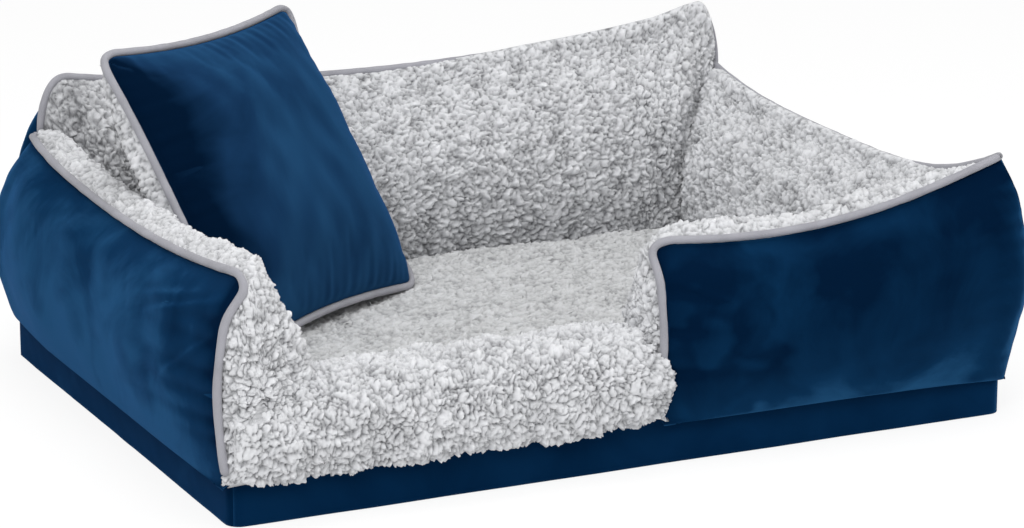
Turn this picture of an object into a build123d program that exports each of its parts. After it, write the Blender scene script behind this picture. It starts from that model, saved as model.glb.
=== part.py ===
"""Rectangular pet bed: a zipped base box, four stuffed bolsters, a low entry roll and a loose cushion.

Millimetres. The origin is the centre of the base's footprint on the floor, +X runs along the length,
+Y to the back, +Z up, and the entry is at the front left.
"""
from build123d import *
from math import atan2, cos, hypot, pi, radians, remainder, sin, sqrt
import os

os.makedirs("parts", exist_ok=True)

# Cloth, gaps and piping, shared by every sewn piece
velvet = 1.5                # velvet with its backing
fleece = 6.0                # curly fleece, its pile pressed down
clearance = 0.3             # gap between one sewn layer and the next
filling_gap = 1.1           # gap behind a faceted panel, more than a facet's rise
overrun = 40.0              # how far a cutting tool runs past what it cuts
piping_radius = 4.5
piping_facets = 8
arc_facets = 8              # straight facets in each arc of a sewn piece's section

# Base box
base_length = 900.0
base_depth = 670.0
base_height = 60.0
base_corner_radius = 14.0
underside_thickness = 1.8
top_lining = 1.2

# Bolsters: d is measured outwards from the edge of the base, z upwards
bolster_foot_overhang = 12.0
bolster_foot_depth = 80.0
bolster_depth = 90.0
bolster_seam_inset = 13.0
bolster_bulge = 37.0
bolster_corner_bulge = 20.0
bolster_waist_share = 0.47  # height of the fullest place between the foot and the top seam
free_end_share = 0.55       # depth left at the tip of a free end
corner_fan_length = 150.0

back_dip_height = 287.0
back_ear_height = 325.0
back_ear_radius = 56.0
corner_rounding = 56.0
side_back_height = 254.0
left_dip_height = 234.0
left_front_height = 260.0
right_dip_height = 230.0
front_ear_height = 284.0
front_dip_height = 228.0
front_dip_share = 0.3       # place of the dip between the free end and the corner
front_end_height = 237.0
free_end_rounding = 26.0
left_end_reach = 12.0
left_end_cap = 8.0
dip_power = 2               # how sharply a top edge rises from its dip
right_dip_power = 3
bulge_power = 4             # how evenly the bulge holds along a bolster
end_steps = 3
middle_steps = 5

# Entry roll
entry_right = 24.0
roll_height = 144.0
roll_bulge = 31.0
roll_depth = 84.0
roll_foot_depth = 76.0
roll_seam_inset = 24.0
roll_end_rounding = 34.0
roll_end_share = 0.8        # size of the roll's right end against its middle
roll_steps = 3

# Seat
seat_top = 80.0
seat_margin = 12.0
seat_corner_radius = 25.0
seat_edge_radius = 5.0

# Loose cushion, in its own frame: x along its lower edge, y up its slope, z out of its velvet face
cushion_side = 350.0
cushion_front_crown = 52.0
cushion_back_crown = 56.0
cushion_drawn_in = 15.0
cushion_corner_radius = 14.0
cushion_edge_front = 5.0
cushion_edge_back = 9.0
crown_power = 2.4
crown_fullness = 0.6
crown_steps = 6
crown_spread_power = 2.2    # how closely the sections crowd towards the sides
cushion_x = -229.0
cushion_y = 101.0
cushion_turn = 33.5         # degrees from the bed's length
cushion_lean = 31.1         # degrees back from upright
cushion_roll = 1.2          # degrees down to its right

# Zips: z is measured outwards from the face of the tape
zip_tape_width = 8.0
zip_tape_thickness = 0.8
zip_tape_slit = 0.6
zip_tooth_pitch = 4.0
zip_tooth_width = 4.0
zip_tooth_height = 1.4
zip_tooth_gap = 0.8
zip_core_height = 0.6
zip_stop_length = 3.0
slider_length = 9.0
slider_width = 7.6
slider_plate = 1.0
slider_gap = 0.3
bail_length = 6.0
bail_width = 1.6
bail_bar = 0.8
bail_post = 1.0
pin_radius = 0.6
pin_gap = 0.25
pull_thickness = 1.0
pull_width = 5.2
pull_eye_width = 2.6
cushion_zip_length = 168.0
cushion_zip_setback = 9.0
cushion_pull_length = 10.0
base_zip_length = 460.0
base_zip_height = 32.0
base_pull_length = 22.0

top_of_base = base_height + clearance


def export(node, solids):
    """Write one node's solids to its own file."""
    solids = [solid for item in solids for solid in item.solids()]
    shape = solids[0] if len(solids) == 1 else Compound(children=solids)
    shape.label = node
    export_step(shape, f"parts/{node}.step")


def circle_through(a, b, c):
    """Centre and radius of the circle through three points of a section."""
    (ax, ay), (bx, by), (cx, cy) = a, b, c
    twice_area = 2 * (ax * (by - cy) + bx * (cy - ay) + cx * (ay - by))
    a2, b2, c2 = ax * ax + ay * ay, bx * bx + by * by, cx * cx + cy * cy
    x = (a2 * (by - cy) + b2 * (cy - ay) + c2 * (ay - by)) / twice_area
    y = (a2 * (cx - bx) + b2 * (ax - cx) + c2 * (bx - ax)) / twice_area
    return (x, y), hypot(ax - x, ay - y)


def upper_crossing(first, second):
    """Upper point where two circles cross."""
    (x0, y0), r0 = first
    (x1, y1), r1 = second
    gap = hypot(x1 - x0, y1 - y0)
    along = (r0 * r0 - r1 * r1 + gap * gap) / (2 * gap)
    across = sqrt(r0 * r0 - along * along)
    ux, uy = (x1 - x0) / gap, (y1 - y0) / gap
    points = [(x0 + along * ux + side * across * -uy, y0 + along * uy + side * across * ux) for side in (1, -1)]
    return max(points, key=lambda point: point[1])


def smaller(circle, distance):
    """The circle about the same centre, drawn in by a distance."""
    centre, radius = circle
    return centre, radius - distance


def middle_of_arc(circle, a, b):
    """Middle of the shorter arc of the circle from a to b."""
    (x, y), radius = circle
    dx, dy = (a[0] + b[0]) / 2 - x, (a[1] + b[1]) / 2 - y
    length = hypot(dx, dy)
    return (x + dx * radius / length, y + dy * radius / length)


def feet(circle):
    """The two points where the circle meets the top of the base."""
    (x, y), radius = circle
    reach = sqrt(radius * radius - (top_of_base - y) ** 2)
    return (x - reach, top_of_base), (x + reach, top_of_base)


def along_arc(circle, a, b):
    """Points on the shorter arc of the circle from a up to, but without, b."""
    (x, y), radius = circle
    first = atan2(a[1] - y, a[0] - x)
    turn = remainder(atan2(b[1] - y, b[0] - x) - first, 2 * pi)
    turns = [first + turn * step / arc_facets for step in range(1, arc_facets)]
    return [a] + [(x + radius * cos(at), y + radius * sin(at)) for at in turns]


def section_points(place, outline):
    """Outline from (circle or None, start) pairs: an arc of the circle, or a line, leads to the next start."""
    points = []
    for i, (circle, start) in enumerate(outline):
        end = outline[(i + 1) % len(outline)][1]
        points += [start] if circle is None else along_arc(circle, start, end)
    return [place(*point) for point in points]


def flat_face(points):
    return make_face(Polyline(*points, close=True))


def facet_loft(sections, up):
    """Solid from one outline to the next, with a flat face at each end.

    Two sections that turn against each other make twisted facets, so each is split into two flat
    triangles, from low to high along the loft. Both sides of a panel are split alike and stay parallel.
    """
    faces = [flat_face(sections[0]), flat_face(sections[-1])]
    for first, second in zip(sections, sections[1:]):
        for i in range(len(first)):
            a, b, c, d = first[i - 1], second[i - 1], second[i], first[i]
            rising = (d - a).dot(up) > 0
            triangles = ((a, b, c), (a, c, d)) if rising else ((a, b, d), (b, c, d))
            faces += [flat_face(triangle) for triangle in triangles]
    return Solid(Shell(faces))


class Section:
    """One cross-section of a bolster: a bulged outer arc and a bulged inner arc that meet at the top seam."""

    def __init__(self, place, stretch, height, bulge, depth, foot_depth, seam_inset, overhang):
        self.place = lambda e, z: place(e / stretch, z)
        self.stretch = stretch
        waist = top_of_base + (height - top_of_base) * bolster_waist_share
        self.seam = (-seam_inset * stretch, height)
        self.outer = circle_through((overhang * stretch, top_of_base), (bulge * stretch, waist), self.seam)
        self.inner = circle_through((-foot_depth * stretch, top_of_base), (-depth * stretch, waist), self.seam)

    def top(self, outside, inside):
        """Where the outer arc moved in by one distance meets the inner arc moved in by another."""
        return upper_crossing(self.outer_arc(outside), self.inner_arc(inside))

    def outer_arc(self, distance):
        return smaller(self.outer, distance * self.stretch)

    def inner_arc(self, distance):
        return smaller(self.inner, distance * self.stretch)

    def outer_foot(self, distance):
        return feet(self.outer_arc(distance))[1]

    def inner_foot(self, distance):
        return feet(self.inner_arc(distance))[0]

    def outer_panel(self):
        """Velvet from the foot to the top seam."""
        return section_points(self.place, [
            (self.outer_arc(0), self.outer_foot(0)),
            (None, self.top(0, 0)),
            (self.outer_arc(velvet), self.top(velvet, 0)),
            (None, self.outer_foot(velvet)),
        ])

    def inner_panel(self):
        """Fleece from the top seam down to the seat."""
        layer = velvet + filling_gap
        return section_points(self.place, [
            (self.inner_arc(0), self.top(layer, 0)),
            (None, self.inner_foot(0)),
            (self.inner_arc(fleece), self.inner_foot(fleece)),
            (None, self.top(layer, fleece)),
        ])

    def filling(self):
        """Fibre filling between the two panels."""
        outside, inside = velvet + filling_gap, fleece + filling_gap
        return section_points(self.place, [
            (self.outer_arc(outside), self.outer_foot(outside)),
            (self.inner_arc(inside), self.top(outside, inside)),
            (None, self.inner_foot(inside)),
        ])

    def whole(self):
        """The outline round both panels."""
        return section_points(self.place, [
            (self.outer_arc(0), self.outer_foot(0)),
            (self.inner_arc(0), self.top(0, 0)),
            (None, self.inner_foot(0)),
        ])

    def roll_cover(self):
        """Fleece that wraps a roll from foot to foot."""
        return section_points(self.place, [
            (self.outer_arc(0), self.outer_foot(0)),
            (self.inner_arc(0), self.top(0, 0)),
            (None, self.inner_foot(0)),
            (self.inner_arc(fleece), self.inner_foot(fleece)),
            (self.outer_arc(fleece), self.top(fleece, fleece)),
            (None, self.outer_foot(fleece)),
        ])

    def roll_filling(self):
        """Fibre filling inside a roll's cover."""
        layer = fleece + filling_gap
        return section_points(self.place, [
            (self.outer_arc(layer), self.outer_foot(layer)),
            (self.inner_arc(layer), self.top(layer, layer)),
            (None, self.inner_foot(layer)),
        ])


def ring(centre, radius, side, direction):
    """Round, faceted face about a point, square to a direction."""
    side = side - direction * (side.dot(direction) / direction.dot(direction))
    plane = Plane(origin=centre, x_dir=side, z_dir=direction)
    return plane * RegularPolygon(radius, piping_facets)


def tube(points, radius, side):
    """Round tube through the points, lofted from rings square to its run."""
    rings = []
    for i, point in enumerate(points):
        direction = points[min(i + 1, len(points) - 1)] - points[max(i - 1, 0)]
        rings.append(ring(point, radius, side, direction.normalized()))
    return loft(rings, ruled=True)


class Bolster:
    """A bolster along one edge of the base, from a start corner to an end corner."""

    def __init__(self, start, end, outward, height, fan_start, fan_end, free_start=0, free_end=0):
        self.start, self.end, self.outward = Vector(*start), Vector(*end), Vector(*outward)
        self.along = (self.end - self.start).normalized()
        self.length = (self.end - self.start).length
        self.height = height
        self.fan_start, self.fan_end = fan_start, fan_end
        self.free_start, self.free_end = free_start, free_end
        mitre_gap = clearance / sqrt(2)
        first = mitre_gap if fan_start else 0
        last = self.length - (mitre_gap if fan_end else 0)
        steps = stations(last - first, free_start or corner_rounding, free_end or corner_rounding)
        self.distances = [first + step for step in steps]

    def fan(self, distance):
        """How far a section turns from square, 0, to the 45 degree mitre, 1."""
        from_start = max(0, 1 - distance / corner_fan_length) * self.fan_start
        from_end = max(0, 1 - (self.length - distance) / corner_fan_length) * self.fan_end
        return from_end - from_start

    def end_share(self, distance):
        """1 along the bolster, falling along a quarter round to a smaller share at a free end."""
        shares = [1.0]
        for rounding, left in ((self.free_start, distance), (self.free_end, self.length - distance)):
            if rounding and left < rounding:
                shares.append(sqrt(1 - (1 - left / rounding) ** 2))
        return min(shares)

    def bulge(self, distance):
        middle = 1 - (2 * distance / self.length - 1) ** bulge_power
        return bolster_corner_bulge + (bolster_bulge - bolster_corner_bulge) * middle

    def section(self, distance):
        fan = self.fan(distance)
        origin = self.start + self.along * distance

        def place(d, z):
            return origin + (self.outward + self.along * fan) * d + Vector(0, 0, z)

        fullness = free_end_share + (1 - free_end_share) * self.end_share(distance)
        depth = bolster_seam_inset + (bolster_depth - bolster_seam_inset) * fullness
        foot = bolster_seam_inset + (bolster_foot_depth - bolster_seam_inset) * fullness
        height = self.height(distance) - free_end_rounding * (1 - self.end_share(distance))
        return Section(place, sqrt(1 + fan * fan), height, self.bulge(distance), depth, foot,
                       bolster_seam_inset, bolster_foot_overhang)

    def loft(self, part):
        return facet_loft([getattr(self.section(distance), part)() for distance in self.distances], Vector(0, 0, 1))

    def seam_points(self, hold_start, hold_end):
        """Centre line of the piping: the top seam moved out square to its run, held back from either end."""
        last = self.length - hold_end
        kept = [distance for distance in self.distances if hold_start <= distance <= last]
        if hold_start:
            kept.insert(0, hold_start)
        if hold_end:
            kept.append(last)
        sections = [self.section(distance) for distance in kept]
        seam = [section.place(*section.seam) for section in sections]
        points = []
        for i, point in enumerate(seam):
            run = seam[min(i + 1, len(seam) - 1)] - seam[max(i - 1, 0)]
            if self.free_start and i == 0:
                run = Vector(0, 0, 1)
            if self.free_end and i == len(seam) - 1:
                run = Vector(0, 0, -1)
            rise = (self.along * -run.Z + Vector(0, 0, run.dot(self.along))).normalized()
            points.append(point + rise * piping_offset)
        return points


def base_outline(inset):
    """The base's rounded rectangle, drawn in by an inset."""
    return RectangleRounded(base_length - 2 * inset, base_depth - 2 * inset, base_corner_radius - inset)


def slab(outline, bottom, top):
    """An outline raised between two heights."""
    return extrude(Pos(0, 0, bottom) * outline, amount=top - bottom)


def make_base():
    """Underside sheet, foam slab, top lining and four side bands sewn at the corners."""
    inside = velvet + clearance
    export("base_underside", [slab(base_outline(0), 0, underside_thickness)])
    foam_top = base_height - top_lining - clearance
    export("base_foam", [slab(base_outline(inside), underside_thickness + clearance, foam_top)])
    export("base_top_lining", [slab(base_outline(inside), base_height - top_lining, base_height)])

    ring = slab(base_outline(0) - base_outline(velvet), underside_thickness, base_height)
    half_length, half_depth = base_length / 2, base_depth / 2
    reach = half_depth - base_corner_radius
    corner = (half_length + overrun, half_depth + overrun)
    inner = (corner[0] - reach, corner[1] - reach)
    back_wedge = Polyline((-inner[0], inner[1]), (inner[0], inner[1]), corner, (-corner[0], corner[1]), close=True)
    back_region = slab(make_face(back_wedge), 0, base_height + overrun)
    front_region = mirror(back_region, Plane.XZ)
    back_band = ring & back_region
    front_band = ring & front_region
    sides = ring - back_region - front_region
    left_band, right_band = sides.solids().sort_by(Axis.X)
    window = Box(base_zip_length + 2 * zip_stop_length, 2 * velvet, zip_tape_width)
    back_band -= Pos(0, half_depth - velvet / 2, base_zip_height) * window
    export("base_back_band", [back_band])
    export("base_front_band", [front_band])
    export("base_left_band", [left_band])
    export("base_right_band", [right_band])


def swell(share_from_dip, power):
    """How far the top edge has risen from its dip, 0, to its end, 1."""
    return min(1, max(0, share_from_dip)) ** power


def back_height(distance):
    """Sagging middle and a rounded ear at each end."""
    from_middle = abs(2 * distance / base_length - 1)
    height = back_dip_height + (back_ear_height - back_dip_height) * swell(from_middle, dip_power)
    into_ear = 1 - min(distance, base_length - distance) / back_ear_radius
    if into_ear > 0:
        height -= back_ear_radius * (1 - sqrt(1 - min(1, into_ear) ** 2))
    return height


def left_height(distance):
    from_middle = 2 * distance / base_depth - 1
    end = side_back_height if from_middle < 0 else left_front_height
    return left_dip_height + (end - left_dip_height) * swell(abs(from_middle), dip_power)


def right_height(distance):
    from_middle = 2 * distance / base_depth - 1
    end = side_back_height if from_middle < 0 else front_ear_height
    return right_dip_height + (end - right_dip_height) * swell(abs(from_middle), right_dip_power)


def front_height(distance):
    share = distance / (base_length / 2 - front_start)
    if share < front_dip_share:
        rise = swell(1 - share / front_dip_share, dip_power)
        return front_dip_height + (front_end_height - front_dip_height) * rise
    rise = swell((share - front_dip_share) / (1 - front_dip_share), dip_power)
    return front_dip_height + (front_ear_height - front_dip_height) * rise


def stations(length, start_rounding, end_rounding):
    """Distances of a bolster's sections: close together round each end, evenly spaced between."""
    quarter = [1 - cos(step * pi / 2 / end_steps) for step in range(end_steps + 1)]
    middle = length - start_rounding - end_rounding
    return ([start_rounding * share for share in quarter]
            + [start_rounding + middle * step / middle_steps for step in range(1, middle_steps)]
            + [length - end_rounding * share for share in reversed(quarter)])


piping_offset = piping_radius + 2 * clearance
piping_hold = piping_offset + 2 * clearance
front_start = entry_right + piping_offset
half_length, half_depth = base_length / 2, base_depth / 2

back_left, back_right = (-half_length, half_depth, 0), (half_length, half_depth, 0)
front_left, front_right = (-half_length, -half_depth, 0), (half_length, -half_depth, 0)

back_bolster = Bolster(back_left, back_right, (0, 1, 0), back_height, 1, 1)
right_bolster = Bolster(back_right, front_right, (1, 0, 0), right_height, 1, 1)
left_bolster = Bolster(back_left, (-half_length, -half_depth - left_end_reach, 0), (-1, 0, 0),
                       left_height, 1, 0, free_end=free_end_rounding)
front_bolster = Bolster((front_start, -half_depth, 0), front_right, (0, -1, 0),
                        front_height, 0, 1, free_start=free_end_rounding)


def roll_section(x, growth, fullness):
    """Section of the entry roll at x, grown all round and scaled down towards its end."""
    def place(d, z):
        return Vector(x, -half_depth - d, z)

    def drawn(reach):
        return (reach + roll_seam_inset) * fullness - roll_seam_inset

    height = top_of_base + (roll_height - top_of_base) * fullness + growth
    return Section(place, 1, height, drawn(roll_bulge) + growth, growth - drawn(-roll_depth),
                   growth - drawn(-roll_foot_depth), roll_seam_inset, drawn(bolster_foot_overhang) + growth)


def make_roll():
    """Entry roll between the left bolster's front edge and the front bolster's free end."""
    left = -half_length - bolster_foot_overhang + piping_offset
    right = entry_right - piping_offset
    xs, fullness = [], []
    for step in range(roll_steps):
        xs.append(left + (right - roll_end_rounding - left) * step / roll_steps)
        fullness.append(1)
    for step in range(end_steps + 1):
        turn = step * pi / 2 / end_steps
        xs.append(right - roll_end_rounding * (1 - sin(turn)))
        fullness.append(roll_end_share + (1 - roll_end_share) * cos(turn))
    sections = [roll_section(x, 0, full) for x, full in zip(xs, fullness)]
    up = Vector(0, 0, 1)
    export("entry_roll_cover", [facet_loft([section.roll_cover() for section in sections], up)])
    export("entry_roll_filling", [facet_loft([section.roll_filling() for section in sections], up)])


def roll_room():
    """The space the entry roll takes out of the left bolster's front end."""
    outline = roll_section(-half_length - overrun, clearance, 1).whole()
    reach = overrun + bolster_depth + overrun
    prism = extrude(flat_face(outline), amount=reach, dir=(1, 0, 0))
    waist = (roll_height - top_of_base) * bolster_waist_share
    front = Box(reach, overrun, waist, align=(Align.MIN, Align.MAX, Align.MIN))
    return prism + Pos(-half_length - overrun, -half_depth - clearance, top_of_base) * front


def end_cap(bolster, distance, direction):
    """Fleece panel that closes a bolster's free end, inside the piping and bulged outwards."""
    section = bolster.section(distance)
    along = bolster.along * direction

    def outline(advance, inset):
        edge = piping_offset + inset
        points = section_points(section.place, [
            (section.outer_arc(edge), section.outer_foot(edge)),
            (section.inner_arc(inset), section.top(edge, inset)),
            (None, section.inner_foot(inset)),
        ])
        return [point + along * advance for point in points]

    sections = [outline(clearance, 0), outline(clearance + left_end_cap, left_end_cap)]
    return facet_loft(sections, Vector(0, 0, 1))


def edge_piping(bolster, distance, direction):
    """Centre line of the piping down the front edge of a free end, from the top seam to the foot."""
    section = bolster.section(distance)
    top, foot = section.seam, section.outer_foot(0)
    middle = middle_of_arc(section.outer, foot, top)
    upper = middle_of_arc(section.outer, middle, top)
    lower = middle_of_arc(section.outer, foot, middle)
    foot = (foot[0], foot[1] + piping_radius)
    return [section.place(*point) + bolster.along * direction * piping_offset
            for point in (upper, middle, lower, foot)]


def make_bolsters():
    """Velvet outside, fleece inside, filling between them and piping along the top seam."""
    room = roll_room()
    for name, bolster, hold_start, hold_end in (("back", back_bolster, 0, 0),
                                                ("right", right_bolster, piping_hold, 0),
                                                ("front", front_bolster, 0, piping_hold),
                                                ("left", left_bolster, piping_hold, 0)):
        velvet_panel = bolster.loft("outer_panel")
        fleece_panel = bolster.loft("inner_panel")
        filling = bolster.loft("filling")
        points = bolster.seam_points(hold_start, hold_end)
        if name == "left":
            fleece_panel, filling = fleece_panel - room, filling - room
            export("left_bolster_end", [end_cap(bolster, bolster.length, 1) - room])
            points = points + edge_piping(bolster, bolster.length, 1)
        if name == "front":
            export("front_bolster_end", [end_cap(bolster, 0, -1)])
            points = list(reversed(edge_piping(bolster, 0, -1))) + points
        export(f"{name}_bolster_velvet", [velvet_panel])
        export(f"{name}_bolster_fleece", [fleece_panel])
        export(f"{name}_bolster_filling", [filling])
        export(f"{name}_bolster_piping", [tube(points, piping_radius, bolster.outward)])


def make_seat():
    """Wadding and a fleece panel between the bolsters and the roll."""
    left = -half_length + bolster_foot_depth + seat_margin
    back = half_depth - bolster_foot_depth - seat_margin
    front = -half_depth + roll_foot_depth + seat_margin
    outline = Pos(0, (back + front) / 2) * RectangleRounded(-2 * left, back - front, seat_corner_radius)
    wadding_top = seat_top - fleece - clearance
    export("seat_wadding", [slab(outline, top_of_base, wadding_top)])
    panel = slab(outline, wadding_top + clearance, seat_top)
    panel = fillet(panel.edges().group_by(Axis.Z)[-1], seat_edge_radius)
    export("seat_fleece", [panel])


class Zip:
    """A closed zip: x along it towards its closed end, y across it, z out of the tape's face."""

    def __init__(self, length, pull_length, far_half, near_half, pull_turn):
        self.length, self.pull_length, self.pull_turn = length, pull_length, pull_turn
        self.far_half, self.near_half = far_half, near_half
        self.plate_bottom = zip_tooth_height + slider_gap
        self.plate_top = self.plate_bottom + slider_plate
        self.pin_height = self.plate_top + pin_gap + pin_radius
        self.eye_length = pin_radius + hypot(bail_length / 2, pin_radius + pin_gap + bail_bar) + pin_gap
        self.slider_x = length / 2 - zip_stop_length - slider_gap - slider_length / 2
        self.travel = 2 * self.slider_x

    def tape(self):
        full = self.length + 2 * zip_stop_length
        halves = []
        for side, width in ((1, self.far_half), (-1, self.near_half)):
            strip = Box(full, width - zip_tape_slit / 2, zip_tape_thickness, align=(Align.CENTER, Align.MIN, Align.MAX))
            strip = Pos(0, zip_tape_slit / 2, 0) * strip
            halves.append(strip if side > 0 else mirror(strip, Plane.XZ))
        return halves

    def teeth(self):
        """A low core with a row of teeth and a stop at each end."""
        outline = [(-self.length / 2, 0), (-self.length / 2, zip_tooth_height)]
        stop_end = self.length / 2 - zip_stop_length
        outline.append((-stop_end, zip_tooth_height))
        outline.append((-stop_end, zip_core_height))
        count = int((2 * stop_end - zip_tooth_gap) / zip_tooth_pitch)
        first = -count * zip_tooth_pitch / 2 + zip_tooth_gap / 2
        for i in range(count):
            start = first + i * zip_tooth_pitch
            end = start + zip_tooth_pitch - zip_tooth_gap
            outline += [(start, zip_core_height), (start, zip_tooth_height), (end, zip_tooth_height),
                        (end, zip_core_height)]
        outline += [(stop_end, zip_core_height), (stop_end, zip_tooth_height),
                    (self.length / 2, zip_tooth_height), (self.length / 2, 0)]
        side = make_face(Plane.XZ * Polyline(*outline, close=True))
        return extrude(side, amount=zip_tooth_width / 2, both=True)

    def slider(self):
        """Plate with two flanges over the teeth, and a bail for the pull."""
        low = (Align.CENTER, Align.CENTER, Align.MIN)
        body = Box(slider_length, slider_width, self.plate_top - slider_gap, align=low)
        body = fillet(body.edges().filter_by(Axis.Z), slider_width / 4)
        channel = Box(slider_length, zip_tooth_width + 2 * slider_gap, self.plate_bottom - slider_gap, align=low)
        body = Pos(0, 0, slider_gap) * (body - channel)
        opening = bail_length - 2 * bail_post
        bar_bottom = self.pin_height + pin_radius + pin_gap
        bail = Box(bail_length, bail_width, bar_bottom + bail_bar - self.plate_top, align=low)
        bail -= Box(opening, bail_width, bar_bottom - self.plate_top, align=low)
        return Pos(self.slider_x, 0, 0) * (body + Pos(0, 0, self.plate_top) * bail)

    def pull(self):
        """Tab with an eye round the bail and a pin under its bar."""
        blank = Rectangle(self.pull_length, pull_width)
        if self.pull_length > 2 * pull_width:
            blank = SlotOverall(self.pull_length, pull_width)
        blank = Pos(self.pull_length / 2 - pin_radius, 0) * blank
        square = Pos(self.eye_length / 2 - pin_radius, 0) * Rectangle(self.eye_length, pull_width)
        eye = Pos(self.eye_length / 2 - pin_radius, 0) * Rectangle(self.eye_length, pull_eye_width)
        tab = extrude(blank + square - eye, amount=pull_thickness / 2, both=True)
        pin = Rot(X=90) * Cylinder(pin_radius, pull_width)
        pull = tab + pin
        return Pos(self.slider_x, 0, self.pin_height) * Rot(Y=self.pull_turn) * pull


def make_base_zip():
    """Zip in the back band, closed at the right-hand end, its pull lying along it."""
    half = zip_tape_width / 2
    fastener = Zip(base_zip_length, base_pull_length, half, half, 180)
    face = Plane(origin=(0, half_depth, base_zip_height), x_dir=(-1, 0, 0), z_dir=(0, 1, 0))
    export_zip("base", fastener, face.location, -zip_tape_thickness / 2)


def export_zip(name, fastener, location, tape_shift):
    """Write a zip's four nodes and print where its joints are."""
    export(f"{name}_zip_tape", [location * half for half in fastener.tape()])
    export(f"{name}_zip_teeth", [location * fastener.teeth()])
    export(f"{name}_zip_slider", [location * fastener.slider()])
    export(f"{name}_zip_pull", [location * fastener.pull()])
    pin = (location * Pos(fastener.slider_x, 0, fastener.pin_height)).position
    print(name, "zip: pin", tuple(round(value, 2) for value in pin), "travel", round(fastener.travel, 2))


def cushion_outline():
    """Square with drawn-in upper and lower edges, straight where the zip runs, and rounded corners."""
    half = cushion_side / 2
    straight = cushion_zip_length / 2 + zip_stop_length
    low = -half + cushion_drawn_in
    top = ThreePointArc((-half, half), (0, half - cushion_drawn_in), (half, half))
    edges = [
        top,
        Line((half, half), (half, -half)),
        TangentArc((straight, low), (half, -half), tangent=(1, 0)),
        Line((straight, low), (-straight, low)),
        TangentArc((-straight, low), (-half, -half), tangent=(-1, 0)),
        Line((-half, -half), (-half, half)),
    ]
    face = make_face(edges)
    corners = [vertex for vertex in face.vertices() if abs(abs(vertex.X) - half) < clearance]
    return fillet(corners, cushion_corner_radius)


def crossings(first, second):
    """Lower and upper points where two circles cross."""
    upper = upper_crossing(first, second)
    flipped = [((x, -y), radius) for (x, y), radius in (first, second)]
    lower = upper_crossing(*flipped)
    return (lower[0], -lower[1]), upper


def crossings_at(circle, value):
    """Lower and upper points of the circle at a value of its first coordinate."""
    (x, y), radius = circle
    reach = sqrt(radius * radius - (value - x) ** 2)
    return (value, y - reach), (value, y + reach)


def cushion_section(outline, share):
    """Front panel, back panel and filling of the cushion where it is cut at one place along its width."""
    x = (cushion_side / 2 - clearance) * share
    cut = outline & Line((x, -cushion_side), (x, cushion_side))
    box = cut.bounding_box()
    low, high = box.min.Y, box.max.Y
    crown = (1 - abs(share) ** crown_power) ** crown_fullness
    front = cushion_edge_front + (cushion_front_crown - cushion_edge_front) * crown
    back = cushion_edge_back + (cushion_back_crown - cushion_edge_back) * crown
    seam, middle = clearance / 2, (low + high) / 2
    front_arc = circle_through((seam, low), (front, middle), (seam, high))
    back_arc = circle_through((-seam, low), (-back, middle), (-seam, high))

    def place(z, y):
        return Vector(x, y, z)

    def panel(arc, thickness, plane):
        inner = smaller(arc, thickness)
        outer_low, outer_high = crossings_at(arc, plane)
        inner_low, inner_high = crossings_at(inner, plane)
        return section_points(place, [(arc, outer_low), (None, outer_high), (inner, inner_high), (None, inner_low)])

    front_inner = smaller(front_arc, velvet + filling_gap)
    back_inner = smaller(back_arc, fleece + filling_gap)
    fill_low, fill_high = crossings(front_inner, back_inner)
    filling = section_points(place, [(front_inner, fill_low), (back_inner, fill_high)])
    return panel(front_arc, velvet, seam), panel(back_arc, fleece, -seam), filling


def make_cushion():
    """Loose cushion that stands on its lower right corner and leans back over the left bolster."""
    turn, lean, roll = radians(cushion_turn), radians(cushion_lean), radians(cushion_roll)
    across = Vector(cos(turn) * cos(roll), sin(turn) * cos(roll), -sin(roll))
    facing = Vector(sin(turn) * cos(lean), -cos(turn) * cos(lean), sin(lean))
    facing = (facing - across * facing.dot(across)).normalized()
    standing = Plane(origin=(cushion_x, cushion_y, 0), x_dir=across, z_dir=facing)

    outline = cushion_outline()
    path = Wire(offset(outline, amount=piping_offset).edges())
    start = path @ 0
    piping = sweep(ring(start, piping_radius, Vector(0, 0, 1), path % 0), path=path)
    seated = (standing.location * piping).bounding_box().min.Z
    location = Pos(0, 0, seat_top + clearance - seated) * standing.location

    to_side = [1 - (1 - step / crown_steps) ** crown_spread_power for step in range(crown_steps + 1)]
    shares = [-share for share in reversed(to_side)] + to_side[1:]
    sections = [cushion_section(outline, share) for share in shares]
    front, back, filling = (facet_loft([section[i] for section in sections], Vector(0, 1, 0)) for i in range(3))
    export("cushion_velvet", [location * front])
    export("cushion_fleece", [location * back])
    export("cushion_filling", [location * filling])
    export("cushion_piping", [location * piping])

    fastener = Zip(cushion_zip_length, cushion_pull_length, cushion_zip_setback - velvet,
                   zip_tape_width / 2, -90)
    low = -cushion_side / 2 + cushion_drawn_in
    face = Plane(origin=(0, low, -cushion_zip_setback), x_dir=(1, 0, 0), z_dir=(0, -1, 0))
    export_zip("cushion", fastener, location * face.location, 0)
    print("cushion across", tuple(across), "facing", tuple(facing))


make_base()
make_base_zip()
make_bolsters()
make_roll()
make_seat()
make_cushion()
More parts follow.
